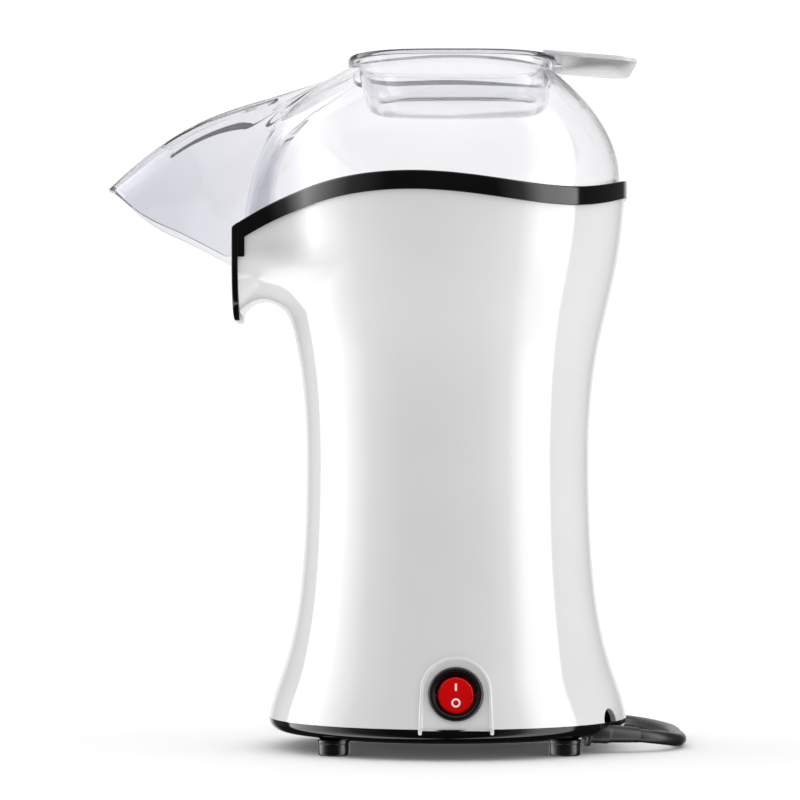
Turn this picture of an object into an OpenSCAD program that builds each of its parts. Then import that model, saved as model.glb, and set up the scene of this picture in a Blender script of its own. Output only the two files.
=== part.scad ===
// Hot-air popcorn maker. Millimetres, +Z up, spout towards -X, switch on the -Y side.

/* [Body] */
// Radius of the shell at its lower edge
foot_r = 78.6; // [76:0.1:80]
// Radius of the shell at its waist
waist_r = 61.9; // [60:0.1:64]
// Radius of the shell under the band
shoulder_r = 78; // [76:0.1:78.4]
// Height of the waist above the floor
waist_z = 125; // [115:1:135]
// Height of the shell's lower edge
shell_z = 12; // [11:0.5:13]
// Wall of the moulded shells
wall = 2.4; // [2:0.1:3]

/* [Band and beak] */
// Outer radius of the black band
band_r = 79; // [78.8:0.1:80]
// Height of the black band
band_h = 8; // [6:0.5:10]
// Half width of the beak, outside the band
beak_half = 37; // [34:0.5:38]
// Radius of the hollow blend from the band's circle into the beak
beak_blend = 35; // [25:1:45]
// Reach of the front plate from the body's axis
plate_reach = 93.2; // [92:0.2:96]
// Height of the front plate's lower edge
plate_z = 187; // [183:1:192]

/* [Hood] */
// Reach of the spout's tip from the body's axis
spout_reach = 149; // [140:1:155]
// Height of the spout's upper edge at its tip
spout_z = 244.5; // [240:0.5:250]
// Wall of the clear hood
hood_wall = 2.2; // [1.8:0.1:2.6]
// Gap between the hood and the band
hood_gap = 1; // [0.6:0.1:1.2]

/* [Measuring cup] */
// Height of the cup's rim above the floor
cup_top = 301; // [300.6:0.1:303]
// Depth of the cup outside
cup_depth = 21.6; // [18:0.1:28]
// Reach of the cup's handle from the body's axis
handle_reach = 82; // [75:1:90]
// Width of the cup's handle
handle_w = 63; // [50:1:66]

/* [Base and feet] */
// Height of the dish's underside above the floor
dish_z = 5.5; // [5:0.5:6.5]
// Diameter of a foot
foot_d = 13.4; // [12:0.1:15]

/* [Switch] */
// Diameter of the switch's bezel
bezel_d = 23; // [22:0.5:24]
// Diameter of the rocker
rocker_d = 14.5; // [14:0.1:15]
// Angle that the rocker turns through
rocker_throw = 16; // [12:1:18]

/* [Air and heat] */
// Outer radius of the popping chamber
chamber_r = 43.5; // [40:0.5:44]
// Radius of the impeller
impeller_r = 33; // [28:0.5:34]
// Number of impeller blades
blades = 12; // [8:1:16]

/* [Mains cord] */
// Diameter of the mains cord
cord_d = 5.8; // [5.4:0.1:6.2]

/* [Hidden] */
$fn = 64;
eps = 0.01;

// The origin lies under the middle of the object's length, so the body's own axis stands off it.
axis_x = (spout_reach - handle_reach) / 2;

// Outline of the shell, as radius and height, below and above the waist
lower_side = [[foot_r, shell_z - 2], [foot_r - 3.6, 37], [waist_r, 35.5], [waist_r, waist_z]];
upper_side = [[waist_r, waist_z], [waist_r, 186], [shoulder_r - 3, 190], [shoulder_r, 243]];
side_steps = 9;

// Wavy top edge of the band, as distance along X and height, from the front to the rear
wave_front = [[-96, 224], [-86.5, 228.3], [-69.5, 245.8], [-20, 245.8]];
wave_middle = [[-20, 245.8], [5.5, 245.8], [28, 240.5], [46, 240.5]];
wave_rear = [[46, 240.5], [49.5, 240.5], [63.5, 240], [79, 248]];
wave_line = concat([[-120, 212]], curve(wave_front, 8), after_first(curve(wave_middle, 4)),
                   after_first(curve(wave_rear, 6)), [[100, 252]]);

// Plan of the band and the beak
blend_x = -sqrt(pow(band_r + beak_blend, 2) - pow(beak_half + beak_blend, 2));
blend_centre = [blend_x, beak_half + beak_blend];
blend_steps = 10;
plan_steps = 72;
band_wall = 2.4;
ledge_drop = 6.3;
deck_z = 228.2;
deck_t = 2;
deck_front_z = 214;
beak_bottom = plate_z + 8.5;
plate_t = 2.7;
beak_arch = [-80.3, 183.2];
wing_z = 214;

// Hood
hood_in = band_wall + hood_gap;
hood_lift = 1.5;
opening_x = 2;
opening_half = [44.5, 43];
mouth_line = [[-spout_reach, 238], [-136.5, 232.5], [-117, 224.3], [-96, 213.7]];
hood_steps = 9;
slot_w = 2.4;

// Half plan of the hood's lower edge, from the rear to the tip of the spout
hood_r = band_r - hood_in;
hood_half = beak_half - hood_in;
hood_touch = atan2(blend_centre.y, -blend_centre.x);
hood_arc = [for (i = [0 : 12]) hood_r * [cos((180 - hood_touch) * i / 12), sin((180 - hood_touch) * i / 12)]];
hood_blend = [for (i = [1 : 4]) let (a = -hood_touch + (hood_touch - 90) * i / 4)
              blend_centre + (beak_blend + hood_in) * [cos(a), sin(a)]];
hood_nose = curve([[-96, hood_half], [-118, hood_half], [-spout_reach, 27], [-spout_reach, 0]], 7);
hood_sides = [for (x = [-79, -84, -88.5, -plate_reach - 0.9]) [x, hood_half]];
hood_edge = concat(hood_arc, hood_blend, hood_sides, hood_nose);
hood_plan = concat(hood_edge, [for (i = [len(hood_edge) - 2 : -1 : 1]) [hood_edge[i].x, -hood_edge[i].y]]);

// Measuring cup
cup_bottom = cup_top - cup_depth;
cup_corner = 3;

// Feet, and the screws that hold them
foot_at = [49, 47];
foot_screw_r = 1.5;
boss_r = 4.5;

// Centre of the circle that each impeller blade follows
blade_bend = [16, 17];

// Switch panel
switch_x = 2.3;
switch_z = 27.6;
panel_y = 74;
panel_tilt = 15;
panel_r = 15;
panel_rise = 1;
panel_leg = 15.8;
pivot_depth = 4;
pivot_r = 1.2;
barrel_r = 9.9;

// Heights of the air path
housing_z = 52;
housing_top = 88;
duct_top = 172;
chamber_z = 128;
coil_rings = [[14, 99], [24, 99], [14, 113], [24, 113]];
coil_tube_r = 2.5;
post_at = 42;
shaft_r = 1.15;
motor_r = 14;

// Cord: the notch it leaves by, its route to the coil and its route from the coil to the plug
notch_angle = -27.5;
cord_r = cord_d / 2;
relief_at = [58, -37.5, 9];
relief_turn = 12;
relief_fall = 4;
relief_l = 24;
relief_neck = 4.4;
relief_flange = 6;
clamp_at = [36, -42.1];
cord_route = [[30, -43.4, 11], [36, -42.1, 10.8], [47, -39.8, 9.8], [58, -37.5, 9], [70, -34.9, 8.1],
              [82, -32.4, 7.1], [92, -26, 5.6], [99, -15, 4], [102, 1, 3.1], [102, 20, 3], [102, 44, 3],
              [97, 70, 3], [88, 96, 3], [72, 117.3, 3], [54.4, 135, 3], [36.7, 152.7, 3]];
coil_centre = [12, 128];
coil_r = 32;
tie_angle = -60;
tail_route = [[12, 163, 8.7], [-4, 161.6, 6.4], [-18, 155, 4.2], [-28, 143, 4.4], [-34, 130.5, 6.6],
              [-38.2, 121.1, 8]];
plug_at = [-42, 114];
plug_turn = -118;

// A point on a cubic curve with four control points, and the curve as points
function bezier(p, t) = let (s = 1 - t) s * s * s * p[0] + 3 * s * s * t * p[1] + 3 * s * t * t * p[2]
                        + t * t * t * p[3];
function curve(p, n) = [for (i = [0 : n]) bezier(p, i / n)];
function after_first(list) = [for (i = [1 : len(list) - 1]) list[i]];
function mix(a, b, w) = a * (1 - w) + b * w;
function eased(w) = let (c = min(1, max(0, w))) c * c * (3 - 2 * c);
function unit(v) = v / norm(v);

// Points of a smooth route through hand-set points
function route_point(p, i, t) =
    let (a = p[max(i - 1, 0)], b = p[i], c = p[i + 1], d = p[min(i + 2, len(p) - 1)])
    0.5 * (2 * b + (c - a) * t + (2 * a - 5 * b + 4 * c - d) * t * t + (3 * b - a - 3 * c + d) * t * t * t);
function smooth_route(p, n) = concat([for (i = [0 : len(p) - 2]) for (k = [0 : n - 1])
                                      route_point(p, i, k / n)],
                                     [p[len(p) - 1]]);

// A closed solid through rings of points; the rings run anticlockwise about the way they follow each other
module skin(rings, closed = false) {
    n = len(rings[0]);
    m = len(rings);
    last = closed ? m - 1 : m - 2;
    sides = [for (i = [0 : last]) for (j = [0 : n - 1])
             let (a = i * n + j, b = i * n + (j + 1) % n, d = ((i + 1) % m) * n + j,
                  c = ((i + 1) % m) * n + (j + 1) % n)
             each [[a, d, c], [a, c, b]]];
    caps = closed ? [] : [[for (j = [0 : n - 1]) j], [for (j = [n - 1 : -1 : 0]) (m - 1) * n + j]];
    polyhedron(points = [for (ring = rings) each ring], faces = concat(sides, caps), convexity = 6);
}

// A round tube along a path
module tube(path, r, sides = 8, reference = [0, 0, 1]) {
    last = len(path) - 1;
    skin([for (i = [0 : last])
          let (t = unit(path[min(i + 1, last)] - path[max(i - 1, 0)]), u = unit(cross(t, reference)),
               v = cross(t, u))
          [for (k = [0 : sides - 1]) path[i] + r * (cos(k * 360 / sides) * u + sin(k * 360 / sides) * v)]]);
}

// A ring of points on a rounded rectangle with soft sides
function soft_ring(x, half, z, power = cup_corner, n = 36) =
    [for (k = [0 : n - 1]) let (a = k * 360 / n, c = cos(a), s = sin(a))
     [x + half.x * sign(c) * pow(abs(c), 2 / power), half.y * sign(s) * pow(abs(s), 2 / power), z]];

// Puts a piece that is drawn about the body's axis into the part's frame
module placed() {
    translate([axis_x, 0, 0]) children();
}

module tube_ring(outer, inner, h) {
    difference() {
        cylinder(r = outer, h = h);
        translate([0, 0, -1]) cylinder(r = inner, h = h + 2);
    }
}

// Shell's side, moved in by a distance
function side_line(inset) = [for (p = concat(curve(lower_side, side_steps),
                                             after_first(curve(upper_side, side_steps)))) p - [inset, 0]];

module barrel(inset) {
    line = side_line(inset);
    end = line[len(line) - 1];
    rotate_extrude($fn = 96) polygon(concat([[0, line[0].y]], line, [[end.x, 260], [0, 260]]));
}

// Everything under the wavy line, moved up or down
module under_wave(shift) {
    line = [for (p = wave_line) p + [0, shift]];
    translate([0, 120, 0]) rotate([90, 0, 0])
        linear_extrude(240) polygon(concat([[-120, 0]], line, [[100, 0]]));
}

// Plan of the band, moved in by a distance; it runs forwards to a reach
module band_plan(inset, reach) {
    half = beak_half - inset;
    r = band_r - inset;
    blend_r = beak_blend + inset;
    turn = atan2(blend_centre.y, blend_x);
    blend = [for (i = [1 : blend_steps]) let (a = 180 - turn + (turn - 90) * i / blend_steps)
        [blend_x + blend_r * cos(a), -blend_centre.y + blend_r * sin(a)]];
    round_side = [for (i = [0 : plan_steps]) let (a = turn * (1 - 2 * i / plan_steps)) r * [cos(a), sin(a)]];
    far_blend = [for (i = [blend_steps - 1 : -1 : 0]) [blend[i].x, -blend[i].y]];
    polygon(concat(round_side, blend, [[-reach, -half], [-reach, half]], far_blend));
}

// The two hollow-sided wedges that blend the band's circle into the beak
module blend_wedges(inset) {
    half = beak_half - inset;
    blend_r = beak_blend + inset;
    touch = blend_centre * ((band_r - inset) / norm(blend_centre));
    for (side = [-1, 1]) difference() {
        polygon([[touch.x * 0.9, side * (half - 9)], [blend_x, side * (half - 9)], [blend_x, side * half],
                 [touch.x, side * touch.y], [touch.x * 0.9, side * touch.y * 0.9]]);
        translate([blend_x, side * blend_centre.y]) circle(r = blend_r - 0.02, $fn = 96);
    }
}

// A U as seen from the front, extruded from the rear to a reach
module beak_tunnel(half, bottom, corner, from, to) {
    translate([-to, 0, 0]) rotate([90, 0, 90]) linear_extrude(to - from) {
        translate([-half, bottom + corner]) square([2 * half, 260 - bottom - corner]);
        translate([-half + corner, bottom]) square([2 * (half - corner), corner + 1]);
        for (side = [-1, 1]) translate([side * (half - corner), bottom + corner]) circle(r = corner);
    }
}

// Beak with an arched underside, widened near the band where it blends into the shell
module beak() {
    difference() {
        beak_tunnel(beak_half - 1, plate_z + 1.7, 24, 30, plate_reach - plate_t);
        translate([beak_arch.x, 60, beak_arch.y]) rotate([90, 0, 0]) cylinder(r = 12.8, h = 120);
    }
    beak_wings(0);
}

module beak_wings(inset) {
    translate([0, 0, wing_z]) linear_extrude(60) blend_wedges(1 + inset);
}

module beak_hollow() {
    beak_tunnel(beak_half - 1 - wall, beak_bottom + 3.5, 24 - wall, 0, plate_reach);
    beak_wings(wall);
}

// Screw bosses inside the foot of the shell
module shell_bosses() {
    for (x = [-1, 1]) for (y = [-1, 1]) translate([x * foot_at.x, y * foot_at.y, 0]) {
        translate([0, 0, dish_z + wall]) cylinder(r = boss_r, h = 20);
        rotate([0, 0, atan2(y * foot_at.y, x * foot_at.x)]) translate([0, 1.2, 0]) rotate([90, 0, 0])
            linear_extrude(2.4) polygon([[1, 14], [9.6, 14], [6.6, 26.7], [1, 26.7]]);
    }
}

module on_panel() {
    translate([switch_x, -panel_y, switch_z]) rotate([90 - panel_tilt, 0, 0]) children();
}

// Arched outline of the switch panel
module panel_outline(inset) {
    side = panel_r - inset;
    translate([0, panel_rise]) circle(r = side);
    leg = panel_leg - inset;
    polygon([[-side, panel_rise], [-leg, -20], [leg, -20], [side, panel_rise]]);
}

module cord_notch(w, top, from, to) {
    rotate([0, 0, notch_angle]) translate([from, 0, 0]) rotate([90, 0, 90]) linear_extrude(to - from) {
        translate([-w / 2, 0]) square([w, top - w / 2]);
        translate([0, top - w / 2]) circle(d = w);
    }
}

module body_shell() {
    color("white") placed() difference() {
        union() {
            difference() {
                intersection() {
                    union() {
                        barrel(0);
                        beak();
                    }
                    under_wave(-band_h);
                    translate([-120, -120, shell_z]) cube([240, 240, 260]);
                }
                barrel(wall);
                translate([0, 0, -5]) cylinder(r = foot_r - 4, h = shell_z + 6);
                beak_hollow();
            }
            shell_bosses();
        }
        on_panel() translate([0, 0, -20]) linear_extrude(40) panel_outline(-0.1);
        cord_notch(12.3, 19, 55, 90);
        for (x = [-1, 1]) for (y = [-1, 1]) translate([x * foot_at.x, y * foot_at.y, 0])
            cylinder(r = foot_screw_r + 0.05, h = 24);
    }
}

module switch_panel() {
    bead = 1.7;
    color("white") placed() difference() {
        intersection() {
            on_panel() union() {
                translate([0, 0, -2.4]) linear_extrude(2.4) panel_outline(0);
                translate([0, 0, -6]) linear_extrude(6.8) difference() {
                    panel_outline(0);
                    panel_outline(bead);
                }
            }
            translate([-50, -120, shell_z]) cube([100, 100, 60]);
        }
        on_panel() translate([0, 0, -12]) cylinder(r = barrel_r + 0.1, h = 20);
    }
}

module top_band() {
    color([0.03, 0.03, 0.03]) placed() difference() {
        intersection() {
            translate([0, 0, 200]) linear_extrude(60) difference() {
                band_plan(0, plate_reach - plate_t);
                band_plan(band_wall, plate_reach);
            }
            under_wave(0);
        }
        under_wave(-band_h);
    }
}

// Front plate with a lip that hooks under the beak, and a small tab on each side
module front_plate() {
    half = beak_half + 0.4;
    color([0.03, 0.03, 0.03]) placed() {
        intersection() {
            beak_tunnel(half, plate_z, 25, plate_reach - plate_t, plate_reach);
            under_wave(0);
            difference() {
                translate([-120, -60, 180]) cube([60, 120, 80]);
                translate([-120, -beak_half + band_wall + 0.3, deck_front_z + deck_t])
                    cube([60, 2 * (beak_half - band_wall - 0.3), 80]);
            }
        }
        difference() {
            beak_tunnel(half, plate_z, 25, plate_reach - 4.6, plate_reach - plate_t + eps);
            beak_tunnel(half - 1.4, plate_z + 1.7, 24, plate_reach - 6, plate_reach);
            translate([-plate_reach, -50, plate_z + 4]) cube([8, 100, 80]);
        }
        for (side = [-1, 1]) translate([-plate_reach + plate_t - eps, side * (beak_half - 0.3) - 0.7, 213.5])
            cube([2.7, 1.4, 5]);
    }
}

// Deck around the chamber's mouth, with the ledge that carries the hood and the channel to the front
module chute_deck() {
    ledge_in = 5.4;
    color("white") placed() difference() {
        union() {
            intersection() {
                translate([0, 0, 200]) linear_extrude(60) difference() {
                    band_plan(band_wall + 0.1, plate_reach - plate_t);
                    band_plan(ledge_in + 2, plate_reach);
                }
                under_wave(-ledge_drop);
                difference() {
                    translate([-120, -120, 200]) cube([240, 240, 60]);
                    under_wave(-band_h);
                }
            }
            intersection() {
                translate([0, 0, deck_front_z]) linear_extrude(40) difference() {
                    band_plan(ledge_in, plate_reach - plate_t);
                    band_plan(ledge_in + 2, plate_reach);
                }
                under_wave(-ledge_drop);
                channel_above(0);
            }
            translate([0, 0, deck_z]) cylinder(r = band_r - ledge_in - 0.5, h = deck_t);
            intersection() {
                translate([0, 0, 200]) linear_extrude(40) intersection() {
                    band_plan(ledge_in + 1, plate_reach - plate_t);
                    translate([-120, -60]) square([70, 120]);
                }
                channel_above(0);
                difference() {
                    translate([-120, -60, 190]) cube([70, 120, deck_z + deck_t - 190]);
                    channel_above(deck_t);
                }
            }
        }
        translate([0, 0, deck_z - 1]) cylinder(r = chamber_r + 1, h = deck_t + 2);
        intersection() {
            translate([0, 0, 190]) linear_extrude(80) intersection() {
                band_plan(ledge_in + 2, plate_reach + 10);
                translate([-120, -60]) square([68, 120]);
            }
            channel_above(deck_t);
        }
    }
}

// Everything above the chute's sloping floor
module channel_above(lift) {
    translate([0, 60, 0]) rotate([90, 0, 0]) linear_extrude(120)
        polygon([[-120, 260], [-120, deck_front_z - 6 + lift], [-plate_reach, deck_front_z + lift],
                 [-52, deck_z + lift], [100, deck_z + lift], [100, 260]]);
}

function edge_height(x) = x > -plate_reach - 1 ? lookup(x, wave_line) - ledge_drop + hood_lift
                                           : lookup(x, mouth_line);

// Control points of the hood's outer line in the vertical plane through one point of its edge
function hood_controls(p) =
    let (a = atan2(p.y, p.x - opening_x), front = eased((abs(a) - 105) / 60),
         side = min(1, abs(p.y) / hood_half),
         tip = front * eased((-p.x - 120) / 28) * (1 - eased(side * 1.2 - 0.2)),
         reach = norm([p.x - opening_x, p.y]), c = abs(cos(a)), s = abs(sin(a)),
         rim = pow(pow(c / opening_half.x, 3) + pow(s / opening_half.y, 3), -1 / 3),
         rim_z = 298.4 - c * c * mix(4.6, 1.7, front), foot_z = mix(edge_height(p.x), spout_z, tip))
    [[reach, foot_z],
     [reach, foot_z] + mix([0, 8], mix([-3, 30], [-41, 39], tip), front),
     [rim, rim_z] + mix([32, -23], mix([40, -20], [53, -20.5], tip), front),
     [rim, rim_z]];
function hood_inner(q) = let (w = hood_wall) [q[0] + [-w, 0], q[1] + [-w, -0.4 * w], q[2] + [-0.6 * w, -w],
                                              q[3] + [0, -w]];
function hood_ring(t, inside) = [for (p = hood_plan)
    let (a = atan2(p.y, p.x - opening_x), q = hood_controls(p), b = bezier(inside ? hood_inner(q) : q, t))
    [opening_x + b.x * cos(a), b.x * sin(a), b.y]];

module hood() {
    color([0.88, 0.9, 0.97, 0.4]) placed() difference() {
        skin(concat([for (i = [0 : hood_steps]) hood_ring(i / hood_steps, false)],
                    [for (i = [hood_steps : -1 : 0]) hood_ring(i / hood_steps, true)]), closed = true);
        for (y = [-12, 0, 12]) translate([-124, y, 230]) {
            translate([0, -slot_w / 2, 0]) cube([50, slot_w, 80]);
        }
    }
}

// Measuring cup with its rim; the rings run up outside and down inside
module measuring_cup() {
    top_x = 2.1;
    low_x = 4.4;
    rim = [45.75, 44.5];
    neck = [42.8, 41.4];
    low = [40.5, 39.2];
    t = 1.6;
    color([0.9, 0.92, 0.98, 0.4]) placed() {
        skin([soft_ring(low_x, low - [4.5, 4.5], cup_bottom),
              soft_ring(low_x, low - [1.3, 1.3], cup_bottom + 2),
              soft_ring(low_x, low, cup_bottom + 5.5), soft_ring(top_x, neck, cup_top - 2.1),
              soft_ring(top_x, rim, cup_top - 2.1), soft_ring(top_x, rim, cup_top - 0.6),
              soft_ring(top_x, rim - [0.6, 0.6], cup_top), soft_ring(top_x, neck - [0.6, 0.6], cup_top),
              soft_ring(top_x, neck - [t, t], cup_top - 1.2),
              soft_ring(low_x, low - [t, t], cup_bottom + 6.2),
              soft_ring(low_x, low - [5.2, 5.2], cup_bottom + t)]);
        cup_handle(top_x, rim);
    }
}

module cup_handle(x, rim) {
    corner = 12;
    fall = 4.6;
    length = handle_reach - 36;
    intersection() {
        difference() {
            translate([handle_reach, 0, cup_top - 4]) rotate([0, fall, 0]) translate([-length, 0, 0])
                linear_extrude(2) {
                    translate([0, -handle_w / 2]) square([length - corner, handle_w]);
                    translate([0, -handle_w / 2 + corner]) square([length, handle_w - 2 * corner]);
                    for (side = [-1, 1]) translate([length - corner, side * (handle_w / 2 - corner)])
                        circle(r = corner);
                }
            translate([0, 0, cup_top - 20]) linear_extrude(40)
                polygon([for (p = soft_ring(x, rim - [1, 1], 0)) [p.x, p.y]]);
        }
        translate([0, -50, cup_top - 12]) cube([handle_reach, 100, 12]);
    }
    translate([x + rim.x + 0.4, -3, cup_top - 6]) cube([2, 6, 4.6]);
}

// Dish that closes the bottom, with its air slots, posts and screw holes
module base_dish() {
    color([0.04, 0.04, 0.04]) placed() difference() {
        union() {
            rotate_extrude($fn = 96) polygon([[0, dish_z], [69, dish_z], [73, dish_z + 0.6],
                                              [76, dish_z + 2.5],
                                              [77.7, dish_z + 4.7], [78.2, shell_z], [75.8, shell_z],
                                              [75.4, dish_z + 5], [74.6, dish_z + 3.6], [72.6, dish_z + wall],
                                              [0, dish_z + wall]]);
            for (a = [0 : 90 : 270]) rotate([0, 0, a]) translate([post_at, 0, dish_z + wall - eps])
                cylinder(r = 3.5, h = housing_z - dish_z - wall + eps, $fn = 32);
            for (x = [-41, -21]) translate([x, 28, dish_z + wall - eps]) cylinder(r = 2.5, h = 4, $fn = 24);
        }
        for (a = [0 : 15 : 345]) rotate([0, 0, a]) translate([14, -1.4, 0]) cube([18, 2.8, 20]);
        for (a = [0 : 90 : 270]) rotate([0, 0, a]) translate([post_at, 0, housing_z - 12])
            cylinder(r = 1.25, h = 14, $fn = 24);
        for (x = [-1, 1]) for (y = [-1, 1]) translate([x * foot_at.x, y * foot_at.y, 0])
            cylinder(r = foot_screw_r + 0.2, h = 20, $fn = 24);
        turned_relief() cylinder(r = relief_neck + 0.1, h = 40);
        turned_relief() translate([0, 0, -0.1]) cylinder(r = relief_flange + 0.1, h = 2.5);
        turned_relief() translate([-12, -relief_neck - 0.1, 1]) cube([12, 2 * relief_neck + 0.2, 40]);
        turned_relief() translate([0, 0, -34]) cylinder(r = relief_neck + 0.1, h = 35);
        for (side = [-1, 1]) at_clamp() translate([0, side * 8, dish_z - 1])
            cylinder(r = 1.25, h = 5, $fn = 24);
    }
}

module foot(x, y) {
    r = foot_d / 2;
    color([0.06, 0.06, 0.06]) placed() translate([x * foot_at.x, y * foot_at.y, 0]) difference() {
        rotate_extrude() {
            square([r - 1, dish_z]);
            translate([0, 1]) square([r, dish_z - 1]);
            translate([r - 1, 1]) circle(r = 1, $fn = 24);
        }
        translate([0, 0, -1]) cylinder(r = 3.1, h = 3.5, $fn = 32);
        translate([0, 0, -1]) cylinder(r = foot_screw_r + 0.2, h = 10, $fn = 24);
    }
}

module foot_front_near() foot(-1, -1);
module foot_front_far() foot(-1, 1);
module foot_rear_near() foot(1, -1);
module foot_rear_far() foot(1, 1);

// A pan-head screw that points up, with its head's underside at height 0
module screw(r, head_r, head_h, length) {
    difference() {
        union() {
            translate([0, 0, -head_h]) cylinder(r = head_r, h = head_h, $fn = 32);
            translate([0, 0, -eps]) cylinder(r = r, h = length, $fn = 24);
        }
        for (a = [0, 90]) rotate([0, 0, a]) translate([-0.7 * head_r, -0.4, -head_h - 1])
            cube([1.4 * head_r, 0.8, 1.8]);
    }
}

module foot_screws() {
    color("silver") placed() for (x = [-1, 1]) for (y = [-1, 1])
        translate([x * foot_at.x, y * foot_at.y, 2.5]) screw(foot_screw_r, 2.8, 1.8, 18);
}

module popping_chamber() {
    t = 1;
    color([0.8, 0.8, 0.82]) placed() difference() {
        rotate_extrude($fn = 96) polygon([[0, chamber_z + 6], [20, chamber_z + 3], [36, chamber_z],
                                          [chamber_r - 2, chamber_z + 3], [chamber_r, chamber_z + 8],
                                          [chamber_r, 231], [51, 231], [51, 232.2], [chamber_r - t, 232.2],
                                          [chamber_r - t, chamber_z + 8.4], [chamber_r - 3, chamber_z + 4.2],
                                          [36, chamber_z + 1.2], [20, chamber_z + 4.2], [0, chamber_z + 7.2]]);
        for (a = [0 : 22.5 : 337.5]) rotate([0, 0, a]) translate([chamber_r - 4, 0, chamber_z + 15])
            rotate([30, 0, 0]) translate([0, -0.9, -5]) cube([8, 1.8, 10]);
    }
}

module chamber_seal() {
    color([0.75, 0.3, 0.2]) placed() translate([0, 0, deck_z + deck_t])
        tube_ring(50, chamber_r + 1.5, 231 - deck_z - deck_t);
}

// Steel duct from the fan housing to the foot of the chamber
module heater_duct() {
    color("lightgray") placed() rotate_extrude($fn = 96)
        polygon([[37, housing_top], [38, housing_top], [48.4, 112], [48.4, duct_top],
                 [chamber_r + 0.1, duct_top], [chamber_r + 0.1, duct_top - 1], [47.4, duct_top - 1],
                 [47.4, 112.3], [37, housing_top + 0.6]]);
}

module mica_boards() {
    half = 36.8;
    color([0.78, 0.7, 0.55]) placed() difference() {
        for (a = [0, 90]) rotate([0, 0, a]) translate([-half, -0.4, housing_top]) cube([2 * half, 0.8, 31]);
        heater_rings(coil_tube_r + 0.2);
    }
}

module heater_rings(r) {
    for (ring = coil_rings) translate([0, 0, ring.y]) rotate_extrude()
        translate([ring.x, 0]) circle(r = r, $fn = 24);
}

module heater_coil() {
    color([0.5, 0.45, 0.42]) placed() heater_rings(coil_tube_r);
}

module thermostat() {
    color("silver") placed() translate([0, 48.4, 150]) rotate([-90, 0, 0]) {
        cylinder(r = 8, h = 5, $fn = 48);
        for (x = [-4, 4]) translate([x - 1.6, -0.4, 5 - eps]) cube([3.2, 0.8, 3.5]);
    }
}

module thermal_fuse() {
    color([0.85, 0.8, 0.6]) placed() translate([-24, 44.6, 135]) rotate([0, 0, 28]) {
        translate([-6, 2.1, 0]) rotate([0, 90, 0]) cylinder(r = 2, h = 12, $fn = 24);
        for (side = [-1, 1]) translate([side * 8, 2.1, 0]) rotate([0, 90, 0])
            cylinder(r = 0.5, h = 5, center = true, $fn = 16);
    }
}

// Fan housing: a spoked floor that carries the motor, and a round wall
module fan_housing() {
    hub = 17;
    inner = 36;
    color([0.85, 0.85, 0.8]) placed() difference() {
        union() {
            translate([0, 0, housing_z]) cylinder(r = 47, h = 2, $fn = 96);
            translate([0, 0, housing_z]) tube_ring(inner + 2, inner, housing_top - housing_z);
        }
        translate([0, 0, housing_z - 1]) cylinder(r = 4.8, h = 4, $fn = 32);
        for (a = [0 : 60 : 300]) rotate([0, 0, a + 6]) translate([0, 0, housing_z - 1])
            rotate_extrude(angle = 48) translate([hub, 0]) square([inner - hub - 3, 4]);
        for (a = [0 : 90 : 270]) rotate([0, 0, a]) translate([post_at, 0, housing_z - 1])
            cylinder(r = 1.7, h = 4, $fn = 24);
        for (side = [-1, 1]) translate([side * 8, 0, housing_z - 1]) cylinder(r = 1.4, h = 4, $fn = 24);
    }
}

module housing_screws() {
    color("silver") placed() for (a = [0 : 90 : 270]) rotate([0, 0, a])
        translate([post_at, 0, housing_z + 2]) mirror([0, 0, 1]) screw(1.2, 2.6, 1.8, 11);
}

module motor_screws() {
    color("silver") placed() for (side = [-1, 1]) translate([side * 8, 0, housing_z + 2])
        mirror([0, 0, 1]) screw(1.2, 2.4, 1.5, 5);
}

// Impeller: hub, back plate and curved blades
// One blade as seen from above, an arc of about a quarter turn from the hub to the disc's edge
module impeller_blade() {
    intersection() {
        translate([blade_bend.x, blade_bend.y]) difference() {
            circle(r = 18.7, $fn = 64);
            circle(r = 17.3, $fn = 64);
        }
        translate([6, -3]) square([impeller_r - 7.2, 17]);
    }
}

module impeller() {
    hub_z = 58;
    color([0.3, 0.3, 0.32]) placed() difference() {
        union() {
            translate([0, 0, hub_z]) cylinder(r = 7, h = 16, $fn = 48);
            translate([0, 0, hub_z]) cylinder(r = impeller_r, h = 1.6, $fn = 96);
            for (k = [0 : blades - 1]) rotate([0, 0, k * 360 / blades])
                translate([0, 0, hub_z + 0.8]) linear_extrude(14) impeller_blade();
        }
        translate([0, 0, hub_z - 1]) cylinder(r = shaft_r, h = 14, $fn = 32);
    }
}

module motor_shaft() {
    color("silver") placed() translate([0, 0, 24]) cylinder(r = shaft_r, h = 46, $fn = 32);
}

module motor_can() {
    color([0.7, 0.7, 0.72]) placed() difference() {
        union() {
            translate([0, 0, 20]) cylinder(r = motor_r, h = housing_z - 20);
            translate([0, 0, housing_z - eps]) cylinder(r = 4.5, h = 2);
        }
        translate([0, 0, 19]) cylinder(r = motor_r - 1.2, h = housing_z - 22);
        translate([0, 0, 19]) cylinder(r = shaft_r + 0.05, h = 40, $fn = 32);
        for (side = [-1, 1]) translate([side * 8, 0, housing_z - 4]) cylinder(r = 1.25, h = 6, $fn = 24);
        for (a = [60, 240]) rotate([0, 0, a]) translate([motor_r - 3, -3, 36]) cube([6, 6, 9]);
    }
}

module motor_end_cap() {
    color([0.1, 0.1, 0.1]) placed() difference() {
        union() {
            translate([0, 0, 17]) cylinder(r = motor_r - 1.5, h = 8);
            translate([0, 0, 14]) cylinder(r = 5, h = 4, $fn = 32);
            for (side = [-1, 1]) translate([side * 9 - 1.4, -0.3, 12]) cube([2.8, 0.6, 6]);
        }
        translate([0, 0, 23]) cylinder(r = shaft_r + 0.05, h = 6, $fn = 32);
    }
}

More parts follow.
